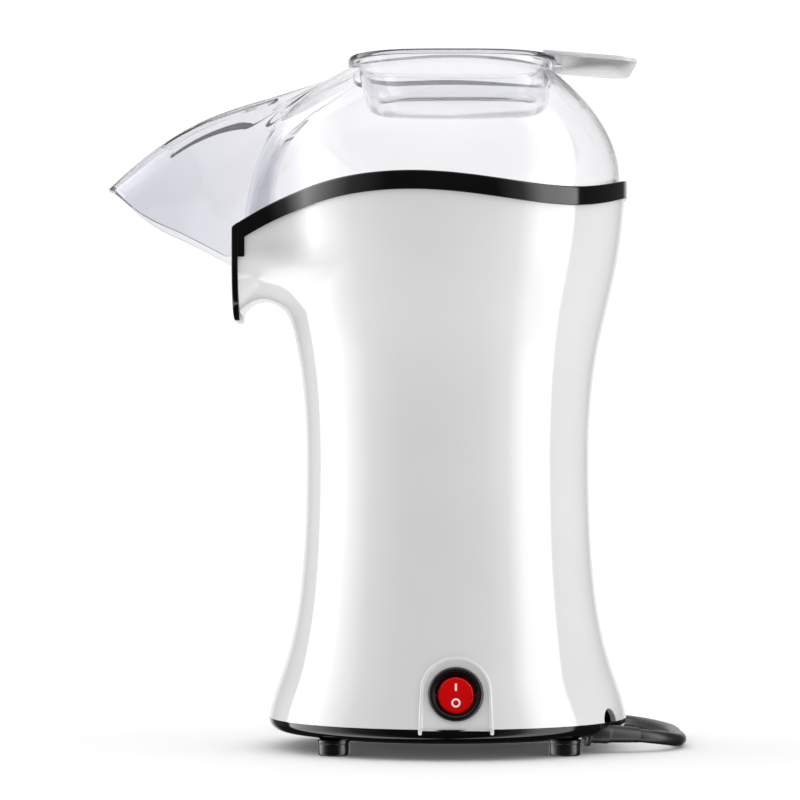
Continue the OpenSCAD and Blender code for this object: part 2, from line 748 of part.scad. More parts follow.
module rectifier_board() {
    color([0.2, 0.45, 0.25]) placed() difference() {
        translate([-46, 19, dish_z + wall + 4 - eps]) cube([30, 18, 1.6]);
        for (x = [-41, -21]) translate([x, 28, 8]) cylinder(r = 1, h = 10, $fn = 24);
    }
}

module diodes() {
    z = dish_z + wall + 5.6;
    color([0.1, 0.1, 0.1]) placed() for (k = [0 : 3]) translate([-38 + 5 * k, 26, z + 1.35]) {
        rotate([-90, 0, 0]) cylinder(r = 1.35, h = 5, $fn = 24);
        translate([0, -2, 0]) rotate([-90, 0, 0]) cylinder(r = 0.4, h = 9, $fn = 16);
    }
}

// Switch: bezel and barrel in one moulding, with the bores that carry the rocker
module switch_housing() {
    r = bezel_d / 2;
    mouth = 9.2;
    color([0.05, 0.05, 0.05]) placed() on_panel() difference() {
        union() {
            rotate_extrude() {
                square([r - 1.2, 1.8]);
                square([r, 0.7]);
                translate([r - 1.2, 0.6]) circle(r = 1.2, $fn = 32);
            }
            translate([0, 0, -17]) cylinder(r = barrel_r, h = 17);
        }
        translate([0, 0, -9]) cylinder(r = mouth - 0.7, h = 20);
        translate([0, 0, -1]) cylinder(r = mouth, h = 20);
        translate([0, 0, -2.4]) tube_ring(r + 2, barrel_r, 2.4);
        translate([-15, 0, -pivot_depth]) rotate([0, 90, 0]) cylinder(r = pivot_r + 0.05, h = 30, $fn = 32);
        for (y = [-4, 4]) translate([-2.4, y - 0.4, -18]) cube([4.8, 0.8, 6]);
    }
}

// Things that turn with the rocker, drawn with its face square to the panel
module on_rocker() {
    on_panel() translate([0, 0, -pivot_depth]) rotate([rocker_throw / 2, 0, 0]) children();
}

module rocker() {
    r = rocker_d / 2;
    color([0.75, 0.02, 0.03]) placed() on_rocker() difference() {
        union() {
            intersection() {
                translate([0, 0, -2]) cylinder(r = r, h = 12);
                rotate([90, 0, 90]) linear_extrude(30, center = true)
                    polygon([[-r, -2], [r, -2], [r, pivot_depth + 1.4], [0, pivot_depth + 0.4],
                             [-r, pivot_depth + 1.4]]);
            }
            rotate([0, 90, 0]) cylinder(r = pivot_r, h = 2 * barrel_r - 0.6, center = true, $fn = 32);
        }
        rocker_signs(0.3);
    }
}

// The line and the ring on the two halves of the rocker
module rocker_signs(depth) {
    slope = atan2(1, rocker_d / 2);
    translate([0, 0, pivot_depth + 0.4]) {
        rotate([slope, 0, 0]) translate([-0.42, 2, -depth]) cube([0.84, 3, depth + 0.05]);
        rotate([-slope, 0, 0]) translate([0, -3, -depth]) tube_ring(1.9, 1.15, depth + 0.05);
    }
}

module rocker_marks() {
    color("white") placed() on_rocker() rocker_signs(0.3);
}

module switch_terminals() {
    color([0.85, 0.7, 0.35]) placed() on_panel() for (y = [-4, 4]) translate([-2.4, y - 0.4, -26])
        cube([4.8, 0.8, 13.9]);
}

// Insulated leads between the switch, the board, the motor and the heater
module wiring() {
    color([0.15, 0.3, 0.6]) placed() {
        tube(smooth_route([[3, -47.8, 17], [-6, -45, 15], [-18, -38, 12], [-30, -20, 11], [-33, 2, 11.5],
                           [-36, 18.5, 14.8]], 3), 1);
        tube(smooth_route([[3, -47.8, 25], [18, -42, 26], [32, -32, 24], [44, -22, 18], [50, -14, 13]], 3), 1);
        tube(smooth_route([[50, -12, 13], [52, 4, 20], [50, 18, 40], [44, 30, 80], [34, 42, 120],
                           [18, 52, 145]], 3), 1, reference = [1, 0, 0]);
    }
}

module at_clamp() {
    translate([clamp_at.x, clamp_at.y, 0]) rotate([0, 0, relief_turn]) children();
}

// Drawn along +Z, with the upper side of the piece towards -X
module turned_relief() {
    translate(relief_at) rotate([0, 0, relief_turn]) rotate([0, 90 + relief_fall, 0]) children();
}

// Bar that holds the cord down inside the dish
module cord_clamp() {
    color([0.9, 0.9, 0.88]) placed() difference() {
        at_clamp() translate([-3.5, -11.5, dish_z + wall]) cube([7, 23, 7]);
        turned_relief() translate([0, 0, -34]) cylinder(r = cord_r + 0.3, h = 30);
        for (side = [-1, 1]) at_clamp() translate([0, side * 8, dish_z]) cylinder(r = 1.6, h = 20, $fn = 24);
    }
}

module clamp_screws() {
    color("silver") placed() for (side = [-1, 1]) at_clamp() translate([0, side * 8, dish_z + wall + 7])
        mirror([0, 0, 1]) screw(1.2, 2.6, 1.8, 9);
}

// Tapered sleeve through the dish's wall, bored for the cord
module strain_relief() {
    color([0.05, 0.05, 0.05]) placed() turned_relief() difference() {
        rotate_extrude() polygon([[0, 0], [relief_flange, 0], [relief_flange, 2], [relief_neck, 2.4],
                                  [relief_neck, 13], [3.9, 15],
                                  [3.4, relief_l], [0, relief_l]]);
        translate([0, 0, -1]) cylinder(r = cord_r, h = relief_l + 2);
    }
}

module cord() {
    color([0.05, 0.05, 0.05]) placed() tube(smooth_route(cord_route, 3), cord_r, sides = 10);
}

module cord_tail() {
    color([0.05, 0.05, 0.05]) placed() tube(smooth_route(tail_route, 3), cord_r, sides = 10);
}

module cord_coil() {
    color([0.07, 0.07, 0.07]) placed() translate([coil_centre.x, coil_centre.y, 0])
        tube_ring(coil_r + cord_d, coil_r - cord_d, 2 * cord_d);
}

module cord_tie() {
    color([0.2, 0.2, 0.2]) placed() translate([coil_centre.x, coil_centre.y, 0]) rotate([0, 0, tie_angle])
        difference() {
        translate([coil_r - cord_d - 1.3, -3, 0]) cube([2 * cord_d + 2.4, 6, 2 * cord_d + 1]);
        translate([coil_r - cord_d - 0.3, -4, -1]) cube([2 * cord_d + 0.4, 8, 2 * cord_d + 1.05]);
    }
}

module at_plug() {
    translate([plug_at.x, plug_at.y, 8]) rotate([0, 0, plug_turn]) children();
}

// Moulded plug with flat six-sided front
module plug_body() {
    color([0.05, 0.05, 0.05]) placed() at_plug() {
        rotate([90, 0, 90]) linear_extrude(22) plug_outline();
        translate([-8, 0, 0]) rotate([0, 90, 0]) cylinder(r1 = 4.4, r2 = 7, h = 8.01);
    }
}

module plug_outline() {
    polygon([[-17, 0], [-11, -8], [11, -8], [17, 0], [11, 8], [-11, 8]]);
}

module plug_pins() {
    color([0.8, 0.8, 0.75]) placed() at_plug() for (side = [-1, 1]) translate([22, side * 9.5, 0])
        rotate([0, 90, 0]) cylinder(r = 2, h = 19, $fn = 32);
}

body_shell();
switch_panel();
top_band();
front_plate();
chute_deck();
hood();
measuring_cup();
base_dish();
foot_front_near();
foot_front_far();
foot_rear_near();
foot_rear_far();
foot_screws();
popping_chamber();
chamber_seal();
heater_duct();
mica_boards();
heater_coil();
thermostat();
thermal_fuse();
fan_housing();
housing_screws();
impeller();
motor_shaft();
motor_can();
motor_end_cap();
motor_screws();
rectifier_board();
diodes();
switch_housing();
rocker();
rocker_marks();
switch_terminals();
wiring();
cord_clamp();
clamp_screws();
strain_relief();
cord();
cord_coil();
cord_tie();
cord_tail();
plug_body();
plug_pins();
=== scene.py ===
import math

import bmesh
import bpy
import numpy as np
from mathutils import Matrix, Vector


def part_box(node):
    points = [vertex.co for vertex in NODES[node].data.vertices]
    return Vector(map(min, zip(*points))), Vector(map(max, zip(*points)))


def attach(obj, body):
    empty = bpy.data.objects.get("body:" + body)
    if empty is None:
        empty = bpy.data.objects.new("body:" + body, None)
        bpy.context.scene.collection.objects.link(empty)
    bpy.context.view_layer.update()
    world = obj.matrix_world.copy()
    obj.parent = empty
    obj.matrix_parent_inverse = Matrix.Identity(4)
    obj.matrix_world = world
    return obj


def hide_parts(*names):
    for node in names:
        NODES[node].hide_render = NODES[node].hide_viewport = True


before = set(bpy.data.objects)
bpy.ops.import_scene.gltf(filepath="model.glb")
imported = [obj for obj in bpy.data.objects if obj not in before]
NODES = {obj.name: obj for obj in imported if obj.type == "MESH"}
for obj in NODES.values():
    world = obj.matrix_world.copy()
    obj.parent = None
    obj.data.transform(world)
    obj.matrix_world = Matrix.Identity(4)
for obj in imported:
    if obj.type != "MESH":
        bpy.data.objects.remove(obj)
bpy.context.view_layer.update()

import openvdb
from mathutils import Matrix, Vector

chamber_low, chamber_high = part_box("popping_chamber")
AXIS_X = (chamber_low.x + chamber_high.x) / 2

# Sizes in millimetres about the body's own axis, as in part.scad
WAVE = [[[-96, 224], [-86.5, 228.3], [-69.5, 245.8], [-20, 245.8]],
        [[-20, 245.8], [5.5, 245.8], [28, 240.5], [46, 240.5]],
        [[46, 240.5], [49.5, 240.5], [63.5, 240], [79, 248]]]
LOWER_SIDE = [[78.6, 10], [75, 37], [61.9, 35.5], [61.9, 125]]
UPPER_SIDE = [[61.9, 125], [61.9, 186], [75, 190], [78, 243]]
BAND_R, BAND_H, BAND_WALL = 79.0, 8.0, 2.4
BEAK_HALF, BEAK_BLEND = 37.0, 35.0
PLATE_REACH, PLATE_Z, PLATE_T = 93.2, 186.0, 2.7
SHELL_Z, SHELL_WALL = 13.2, 2.4
BLEND_X = -math.sqrt((BAND_R + BEAK_BLEND) ** 2 - (BEAK_HALF + BEAK_BLEND) ** 2)
BLEND_Y = BEAK_HALF + BEAK_BLEND
SWITCH = (2.3, -74.0, 27.6)
PANEL_TILT, PANEL_R, PANEL_HALF_FOOT = 15.0, 15.0, 15.8


# ---------------------------------------------------------------- helpers

def bezier(points, t):
    """Points of a cubic curve at the steps t, from 0 to 1."""
    p = np.array(points, float)
    t = np.asarray(t, float)[:, None]
    s = 1 - t
    return s ** 3 * p[0] + 3 * s * s * t * p[1] + 3 * s * t * t * p[2] + t ** 3 * p[3]


def smooth(a, b, x):
    """0 before a and 1 after b, with a soft step between."""
    t = np.clip((np.asarray(x, float) - a) / (b - a), 0, 1)
    return t * t * (3 - 2 * t)


def chain(curves, n):
    """Curves that follow on from each other, as one line of points."""
    return np.vstack([bezier(c, np.linspace(0, 1, n + 1)[(0 if i == 0 else 1):]) for i, c in enumerate(curves)])


WAVE_LINE = np.vstack([[[-120, 212]], chain(WAVE, 40), [[100, 252]]])
SIDE_LINE = np.vstack([[[79.0, 4]], chain([LOWER_SIDE, UPPER_SIDE], 80), [[78.0, 270]]])


def wave(x):
    return np.interp(x, WAVE_LINE[:, 0], WAVE_LINE[:, 1])


def side_radius(z):
    return np.interp(z, SIDE_LINE[:, 1], SIDE_LINE[:, 0])


def metres(points):
    """Millimetres about the body's axis, as metres in the frame."""
    return np.asarray(points, float) * 0.001 + np.array([AXIS_X, 0, 0])


def full_turn(n):
    """Angles of n points evenly round a circle."""
    return [2 * math.pi * k / n for k in range(n)]


def arc(x, y, r, start, end, n):
    """Outline points round part of a circle, from one angle to another."""
    return [[x + r * math.cos(a), y + r * math.sin(a)] for a in np.linspace(start, end, n)]


def squared_radius(angle, half_x, half_y, power):
    """Radius at an angle of an ellipse that a power above 2 squares off."""
    c, s = abs(math.cos(angle)), abs(math.sin(angle))
    return ((c / half_x) ** power + (s / half_y) ** power) ** (-1 / power)


def scene_object(name, data):
    obj = bpy.data.objects.new(name, data)
    bpy.context.scene.collection.objects.link(obj)
    return obj


def mesh_object(name, verts, faces, in_metres=False):
    mesh = bpy.data.meshes.new(name)
    co = np.asarray(verts, float) if in_metres else metres(verts)
    mesh.from_pydata(co.tolist(), [], [tuple(int(i) for i in f) for f in faces])
    mesh.update()
    return scene_object(name, mesh)


def tidy_mesh(obj, merge):
    bm = bmesh.new()
    bm.from_mesh(obj.data)
    bmesh.ops.remove_doubles(bm, verts=bm.verts, dist=merge)
    bmesh.ops.recalc_face_normals(bm, faces=bm.faces)
    bm.to_mesh(obj.data)
    bm.free()
    return obj


def shade(obj, angle):
    """Smooth shading, with the edges sharper than the angle kept sharp."""
    for p in obj.data.polygons:
        p.use_smooth = True
    bm = bmesh.new()
    bm.from_mesh(obj.data)
    for e in bm.edges:
        e.smooth = len(e.link_faces) != 2 or e.calc_face_angle(0) < math.radians(angle)
    bm.to_mesh(obj.data)
    bm.free()
    return obj


def apply_modifiers(obj):
    bpy.context.view_layer.update()
    graph = bpy.context.evaluated_depsgraph_get()
    made = bpy.data.meshes.new_from_object(obj.evaluated_get(graph), depsgraph=graph)
    obj.modifiers.clear()
    old = obj.data
    obj.data = made
    bpy.data.meshes.remove(old)
    return obj


def cut(obj, *tools):
    """Cuts the tools out of a piece and removes them."""
    for tool in tools:
        m = obj.modifiers.new("cut", "BOOLEAN")
        m.operation, m.object, m.solver = "DIFFERENCE", tool, "MANIFOLD"
    apply_modifiers(obj)
    for tool in tools:
        bpy.data.objects.remove(tool)
    return obj


def wall(obj, thickness):
    """Thickens a skin inward."""
    m = obj.modifiers.new("wall", "SOLIDIFY")
    m.thickness, m.offset = thickness, -1
    return apply_modifiers(obj)


def rings_mesh(name, rings, caps=(True, True), loop=False):
    """Skin over rings that all have as many points; loop joins the last to the first, and caps close the ends."""
    n = len(rings[0])
    verts = np.vstack(rings)
    faces = []
    for i in range(len(rings) if loop else len(rings) - 1):
        a, b = i * n, ((i + 1) % len(rings)) * n
        for j in range(n):
            k = (j + 1) % n
            faces.append((a + j, a + k, b + k, b + j))
    if caps[0] and not loop:
        faces.append(tuple(range(n - 1, -1, -1)))
    if caps[1] and not loop:
        faces.append(tuple(range((len(rings) - 1) * n, len(rings) * n)))
    return tidy_mesh(mesh_object(name, verts, faces), 1e-7)


def lathe(name, profile, n, centre=(0, 0), place=np.array):
    """Turns a closed profile of radius and height about an upright axis, and puts it in place."""
    rings = []
    for a in full_turn(n):
        rings.append(place([[centre[0] + r * math.cos(a), centre[1] + r * math.sin(a), z] for r, z in profile]))
    return rings_mesh(name, rings, loop=True)


def prism(name, outline, bottom, top, place=np.array):
    """A closed outline drawn straight up from bottom to top, and put in place."""
    rings = [place([[p[0], p[1], h] for p in outline]) for h in (bottom, top)]
    return rings_mesh(name, rings)


def rounded(points, radius, steps):
    """A closed outline with its corners rounded; radius is one number, or one for each corner."""
    out = []
    n = len(points)
    for i in range(n):
        p0, p1, p2 = (np.array(points[(i + k) % n], float) for k in (-1, 0, 1))
        r = radius if np.isscalar(radius) else radius[i]
        if r <= 0:
            out.append(p1)
            continue
        u, v = (p0 - p1), (p2 - p1)
        lu, lv = np.linalg.norm(u), np.linalg.norm(v)
        u, v = u / lu, v / lv
        half = math.acos(max(-1, min(1, float(u @ v)))) / 2
        d = min(r / math.tan(half), 0.49 * lu, 0.49 * lv)
        for k in range(steps + 1):
            t = k / steps
            a, b = p1 + u * d, p1 + v * d
            out.append((1 - t) ** 2 * a + 2 * t * (1 - t) * p1 + t * t * b)
    return np.array(out)


def piece(obj, body, finish, *nodes, angle=35.0, slot=None):
    """Shades a piece, gives it its finish, and says what it rides on and which nodes it stands for."""
    shade(obj, angle)
    obj.data.materials.clear()
    obj.data.materials.append(FINISH[finish])
    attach(obj, body)
    if nodes:
        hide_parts(*nodes)
    return obj


# ---------------------------------------------------------------- camera

camera_data = bpy.data.cameras.new("camera")
camera = scene_object("camera", camera_data)
EYE_X, EYE_DISTANCE, EYE_Z = AXIS_X - 0.0209, 1.364, 0.117
AIM_Z = 0.1518
camera_data.lens = 139.5
camera_data.sensor_width = 36
camera_data.clip_end = 50
camera.location = (EYE_X, -EYE_DISTANCE, EYE_Z)
aim = Vector((EYE_X, 0, AIM_Z)) - camera.location
camera.rotation_euler = aim.to_track_quat("-Z", "Y").to_euler()
bpy.context.scene.camera = camera
bpy.context.scene.view_settings.view_transform = "Standard"


# ---------------------------------------------------------------- materials

FINISH = {}


def new_material(name):
    """A new material, kept in FINISH under its name; returns its tree and its shader."""
    m = FINISH[name] = bpy.data.materials.new(name)
    m.use_nodes = True
    return m.node_tree, m.node_tree.nodes["Principled BSDF"]


def settings(node, **values):
    """Sets a node's inputs by name, with _ for a space."""
    for name, value in values.items():
        node.inputs[name.replace("_", " ")].default_value = value


def maths(tree, operation, *values):
    """A Math node; each value is a number or a socket."""
    node = tree.nodes.new("ShaderNodeMath")
    node.operation = operation
    for socket, value in zip(node.inputs, values):
        if isinstance(value, float):
            socket.default_value = value
        else:
            tree.links.new(value, socket)
    return node.outputs["Value"]


def span(tree, source, start, end, low=0.0, high=1.0, soft=False):
    """A number that goes from low to high as the source goes from start to end."""
    node = tree.nodes.new("ShaderNodeMapRange")
    node.interpolation_type = "SMOOTHSTEP" if soft else "LINEAR"
    settings(node, From_Min=start, From_Max=end, To_Min=low, To_Max=high)
    tree.links.new(source, node.inputs["Value"])
    return node.outputs["Result"]


def add_noise(tree, scale, detail, stretch=None):
    coords = tree.nodes.new("ShaderNodeTexCoord")
    source = coords.outputs["Object"]
    if stretch:
        mapping = tree.nodes.new("ShaderNodeMapping")
        settings(mapping, Scale=stretch)
        tree.links.new(source, mapping.inputs["Vector"])
        source = mapping.outputs["Vector"]
    noise = tree.nodes.new("ShaderNodeTexNoise")
    settings(noise, Scale=scale, Detail=detail)
    tree.links.new(source, noise.inputs["Vector"])
    return noise.outputs["Fac"]


# Where most of a noise lies
NOISE_SPAN = (0.3, 0.7)


def ramp(tree, source, low, high, start=NOISE_SPAN[0], end=NOISE_SPAN[1]):
    """Colour that goes from low to high as the source goes from start to end."""
    node = tree.nodes.new("ShaderNodeValToRGB")
    node.color_ramp.elements[0].position, node.color_ramp.elements[1].position = start, end
    node.color_ramp.elements[0].color = (*low, 1)
    node.color_ramp.elements[1].color = (*high, 1)
    tree.links.new(source, node.inputs["Fac"])
    return node.outputs["Color"]


def add_bump(tree, shader, source, distance, strength):
    node = tree.nodes.new("ShaderNodeBump")
    settings(node, Distance=distance, Strength=strength)
    tree.links.new(source, node.inputs["Height"])
    tree.links.new(node.outputs["Normal"], shader.inputs["Normal"])


def moulded(name, low, high, rough, grain, bump, strength, metallic=0.0, stretch=None, cloud=18.0, spec=0.5):
    """A moulded or rolled surface: soft colour clouds, uneven gloss and a fine grain."""
    tree, shader = new_material(name)
    clouds = add_noise(tree, cloud, 4.0)
    fine = add_noise(tree, grain, 2.0, stretch)
    tree.links.new(ramp(tree, clouds, low, high), shader.inputs["Base Color"])
    tree.links.new(span(tree, fine if stretch else clouds, *NOISE_SPAN, *rough), shader.inputs["Roughness"])
    add_bump(tree, shader, fine, bump, strength)
    settings(shader, Metallic=metallic, Specular_IOR_Level=spec)


moulded("white_gloss", (0.80, 0.80, 0.80), (0.84, 0.84, 0.84), (0.05, 0.075), 260, 0.000004, 0.05, spec=0.9)
moulded("white_satin", (0.78, 0.78, 0.77), (0.83, 0.83, 0.82), (0.28, 0.36), 900, 0.00002, 0.2)
moulded("black_gloss", (0.0035, 0.0035, 0.004), (0.006, 0.006, 0.0065), (0.05, 0.09), 300, 0.000004, 0.05)
moulded("black_satin", (0.006, 0.006, 0.007), (0.010, 0.010, 0.011), (0.13, 0.2), 900, 0.00001, 0.15)
moulded("foot_rubber", (0.006, 0.006, 0.007), (0.012, 0.012, 0.013), (0.16, 0.24), 700, 0.00002, 0.2)
moulded("cord_black", (0.010, 0.010, 0.011), (0.017, 0.017, 0.018), (0.30, 0.40), 1300, 0.00003, 0.3)
moulded("tie_dark", (0.03, 0.03, 0.032), (0.05, 0.05, 0.052), (0.4, 0.55), 1500, 0.00003, 0.4)
moulded("rocker_red", (0.60, 0.0015, 0.003), (0.70, 0.002, 0.004), (0.05, 0.08), 500, 0.00001, 0.05, spec=0.35)
moulded("mark_white", (0.85, 0.83, 0.83), (0.93, 0.92, 0.92), (0.3, 0.4), 1200, 0.00001, 0.2)
moulded("chamber_aluminium", (0.70, 0.70, 0.71), (0.80, 0.80, 0.81), (0.24, 0.36), 60, 0.00002, 0.25, metallic=1.0,
        stretch=(1, 1, 40))
moulded("duct_steel", (0.50, 0.50, 0.51), (0.60, 0.60, 0.61), (0.28, 0.42), 80, 0.00003, 0.3, metallic=1.0,
        stretch=(1, 1, 30))
moulded("motor_steel", (0.56, 0.56, 0.57), (0.66, 0.66, 0.67), (0.2, 0.34), 90, 0.00002, 0.25, metallic=1.0,
        stretch=(1, 1, 25))
moulded("screw_steel", (0.55, 0.55, 0.56), (0.68, 0.68, 0.69), (0.18, 0.3), 900, 0.00001, 0.2, metallic=1.0)
moulded("pin_nickel", (0.66, 0.65, 0.62), (0.74, 0.73, 0.70), (0.1, 0.18), 500, 0.00001, 0.15, metallic=1.0)
moulded("terminal_brass", (0.60, 0.44, 0.17), (0.72, 0.54, 0.24), (0.2, 0.34), 600, 0.00001, 0.2, metallic=1.0)
moulded("resistance_wire", (0.16, 0.14, 0.13), (0.30, 0.26, 0.24), (0.35, 0.5), 900, 0.00002, 0.3, metallic=0.9)
moulded("silicone", (0.42, 0.06, 0.035), (0.50, 0.08, 0.045), (0.4, 0.5), 900, 0.00003, 0.2)
moulded("mica", (0.40, 0.31, 0.17), (0.58, 0.48, 0.30), (0.25, 0.45), 90, 0.00004, 0.4, cloud=70)
moulded("fuse_body", (0.66, 0.58, 0.36), (0.74, 0.67, 0.44), (0.3, 0.4), 700, 0.00001, 0.2)
moulded("heatproof_plastic", (0.58, 0.54, 0.45), (0.66, 0.62, 0.53), (0.4, 0.52), 1000, 0.00003, 0.4)
moulded("dark_plastic", (0.012, 0.012, 0.014), (0.022, 0.022, 0.025), (0.35, 0.48), 1000, 0.00003, 0.35)
moulded("board_green", (0.015, 0.10, 0.03), (0.025, 0.14, 0.045), (0.2, 0.34), 500, 0.00002, 0.3, cloud=160)
moulded("wire_blue", (0.012, 0.05, 0.26), (0.02, 0.07, 0.32), (0.3, 0.4), 900, 0.00002, 0.2)


CLOUD_IN_TINT = 0.12
ACRYLIC_IOR = 1.49


def clear_material(name, darker_tint, lighter_tint, reach=None, clarity=1.0):
    """Clear moulding with a clouded tint; reach gives two places along X between which a painted shade fades out, the
    tint going from its darker colour at the first place to its lighter colour at the second.
    """
    tree, shader = new_material(name)
    clouds = add_noise(tree, 14.0, 3.0)
    # painted shade: the tint is darkest at the reach's first place and fades out by its second
    if reach:
        coords = tree.nodes.new("ShaderNodeTexCoord")
        part = tree.nodes.new("ShaderNodeSeparateXYZ")
        tree.links.new(coords.outputs["Object"], part.inputs["Vector"])
        along = span(tree, part.outputs["X"], *reach)
        tint = ramp(tree, maths(tree, "MULTIPLY_ADD", clouds, CLOUD_IN_TINT, along), darker_tint, lighter_tint, 0.0, 1.0)
    else:
        tint = ramp(tree, clouds, darker_tint, lighter_tint)
    tree.links.new(tint, shader.inputs["Base Color"])
    tree.links.new(span(tree, clouds, *NOISE_SPAN, 0.012, 0.03), shader.inputs["Roughness"])
    add_bump(tree, shader, add_noise(tree, 40.0, 1.0), 0.00002, 0.03)
    settings(shader, Transmission_Weight=clarity, IOR=ACRYLIC_IOR)


# The hood's spout is painted a darker grey-lavender shade, which fades out toward the rear
clear_material("clear_plastic_hood", (0.81, 0.812, 0.86), (0.99, 0.99, 1.0), (AXIS_X - 0.14, AXIS_X - 0.03), 0.98)
clear_material("clear_plastic", (0.94, 0.943, 0.97), (0.955, 0.958, 0.98), clarity=0.95)
clear_material("clear_plastic_handle", (0.95, 0.95, 0.975), (0.98, 0.98, 0.995), clarity=0.4)

KEPT = {"chute_deck": "white_satin", "foot_screws": "screw_steel", "popping_chamber": "chamber_aluminium",
        "chamber_seal": "silicone", "heater_duct": "duct_steel", "mica_boards": "mica",
        "heater_coil": "resistance_wire", "thermostat": "duct_steel", "thermal_fuse": "fuse_body",
        "fan_housing": "heatproof_plastic", "housing_screws": "screw_steel", "impeller": "dark_plastic",
        "motor_shaft": "screw_steel", "motor_can": "motor_steel", "motor_end_cap": "dark_plastic",
        "motor_screws": "screw_steel", "rectifier_board": "board_green", "diodes": "dark_plastic",
        "switch_terminals": "terminal_brass", "wiring": "wire_blue", "cord_clamp": "heatproof_plastic",
        "clamp_screws": "screw_steel"}
for node_name, finish in KEPT.items():
    NODES[node_name].data.materials.clear()
    NODES[node_name].data.materials.append(FINISH[finish])
    shade(NODES[node_name], 30.0)


# ---------------------------------------------------------------- mains cord

CORD_D = 5.8
CORD_R = CORD_D / 2
CORD_ROUTE = [[58, -37.5, 9], [70, -34.9, 8.1], [82, -32.4, 7.1], [92, -26, 5.6], [99, -15, 4], [102, 1, 3.1],
              [102, 20, 3], [102, 44, 3], [97, 70, 3], [88, 96, 3], [72, 117.3, 3], [54.4, 135, 3], [36.7, 152.7, 3]]
TAIL_ROUTE = [[12, 163, 8.7], [-4, 161.6, 6.4], [-18, 155, 4.2], [-28, 143, 4.4], [-34, 130.5, 6.6], [-38.2, 121.1, 8]]
COIL = (12.0, 128.0)
PLUG_AT, PLUG_TURN = (-42.0, 114.0, 8.0), -118.0
RELIEF_AT, RELIEF_TURN, RELIEF_FALL = (58.0, -37.5, 9.0), 12.0, 4.0
COIL_START, COIL_TURNS, COIL_STEPS = 45, 3.125, 48
COIL_INNER, COIL_OUTER = 29.1, 34.95
COIL_LOW, COIL_HIGH = 3.0, 8.85
# Degrees turned over which the coil goes to its inner turn, up, and out over the turns below
TURN_IN, TURN_UP, TURN_OUT = (290, 360), (540, 610), (785, 855)


def spline_points(points, n):
    """A smooth line through the points, with n steps between each two."""
    p = [np.array(q, float) for q in points]
    p = [2 * p[0] - p[1]] + p + [2 * p[-1] - p[-2]]
    out = []
    for i in range(1, len(p) - 2):
        a, b, c, d = p[i - 1:i + 3]
        for k in range(n):
            t = k / n
            out.append(0.5 * (2 * b + (c - a) * t + (2 * a - 5 * b + 4 * c - d) * t * t
                              + (3 * b - a - 3 * c + d) * t ** 3))
    return out + [p[-2]]


def coil_points():
    """Outer turn, inner turn, then up and out over them."""
    out = []
    steps = int(COIL_TURNS * COIL_STEPS)
    step_out = COIL_OUTER - COIL_INNER
    for k in range(1, steps):
        turned = 360 * COIL_TURNS * k / steps
        r = COIL_OUTER - step_out * float(smooth(*TURN_IN, turned)) + step_out * float(smooth(*TURN_OUT, turned))
        z = COIL_LOW + (COIL_HIGH - COIL_LOW) * float(smooth(*TURN_UP, turned))
        a = math.radians(COIL_START + turned)
        out.append(np.array([COIL[0] + r * math.cos(a), COIL[1] + r * math.sin(a), z]))
    return out


cord_line = spline_points(CORD_ROUTE, 4) + coil_points() + spline_points(TAIL_ROUTE, 5)
cord_curve = bpy.data.curves.new("mains_cord", "CURVE")
cord_curve.dimensions = "3D"
cord_curve.bevel_depth = CORD_R / 1000
cord_curve.bevel_resolution = 5
cord_curve.use_fill_caps = True
cord_spline = cord_curve.splines.new("POLY")
cord_spline.points.add(len(cord_line) - 1)
for point, place in zip(cord_spline.points, metres(cord_line)):
    point.co = (*place, 1)
cord_spline.use_smooth = True
cord = scene_object("mains_cord", cord_curve)
cord_curve.materials.append(FINISH["cord_black"])
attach(cord, "base")
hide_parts("cord", "cord_coil", "cord_tail")


def place_relief(points):
    """Local points along +Z, turned as the strain relief is."""
    level = Matrix.Rotation(math.radians(RELIEF_TURN), 3, "Z")
    turn = level @ Matrix.Rotation(math.radians(90 + RELIEF_FALL), 3, "Y")
    return np.asarray(points, float) @ np.array(turn).T + np.array(RELIEF_AT)


relief_profile = [[2.9, 0], [5.4, 0], [5.85, 0.25], [6, 0.7], [6, 1.5], [5.7, 2.0], [4.4, 2.4], [4.4, 9.6],
                  [4.1, 10.6], [3.8, 11.6], [3.2, 23.7], [3.05, 24], [2.9, 24]]
relief = lathe("cord_bushing", relief_profile, 48, place=place_relief)
piece(relief, "base", "cord_black", "strain_relief")

# The cord's first stretch, which lies in the dish and stands still
stub_line = spline_points([[30, -43.4, 11], [36, -42.1, 10.8], [47, -39.8, 9.8], [58.5, -37.4, 8.97]], 4)
stub_rings = []
for i, p in enumerate(stub_line):
    q = stub_line[min(i + 1, len(stub_line) - 1)] - stub_line[max(i - 1, 0)]
    along = Vector(q).normalized()
    side = along.cross(Vector((0, 0, 1))).normalized()
    up = side.cross(along)
    stub_rings.append([np.array(p) + CORD_R * (math.cos(a) * np.array(side) + math.sin(a) * np.array(up))
                       for a in full_turn(24)])
stub = rings_mesh("cord_inside_dish", stub_rings)
piece(stub, "base", "cord_black")


def place_plug(points):
    """Local points of the plug, with its pins along +X, turned as it lies."""
    turn = Matrix.Rotation(math.radians(PLUG_TURN), 3, "Z")
    return np.asarray(points, float) @ np.array(turn).T + np.array(PLUG_AT)


def plug_ring(x, half_w, half_t, power):
    out = []
    for a in full_turn(96):
        r = squared_radius(a, half_w, half_t, power)
        out.append([x, r * math.cos(a), r * math.sin(a)])
    return place_plug(out)


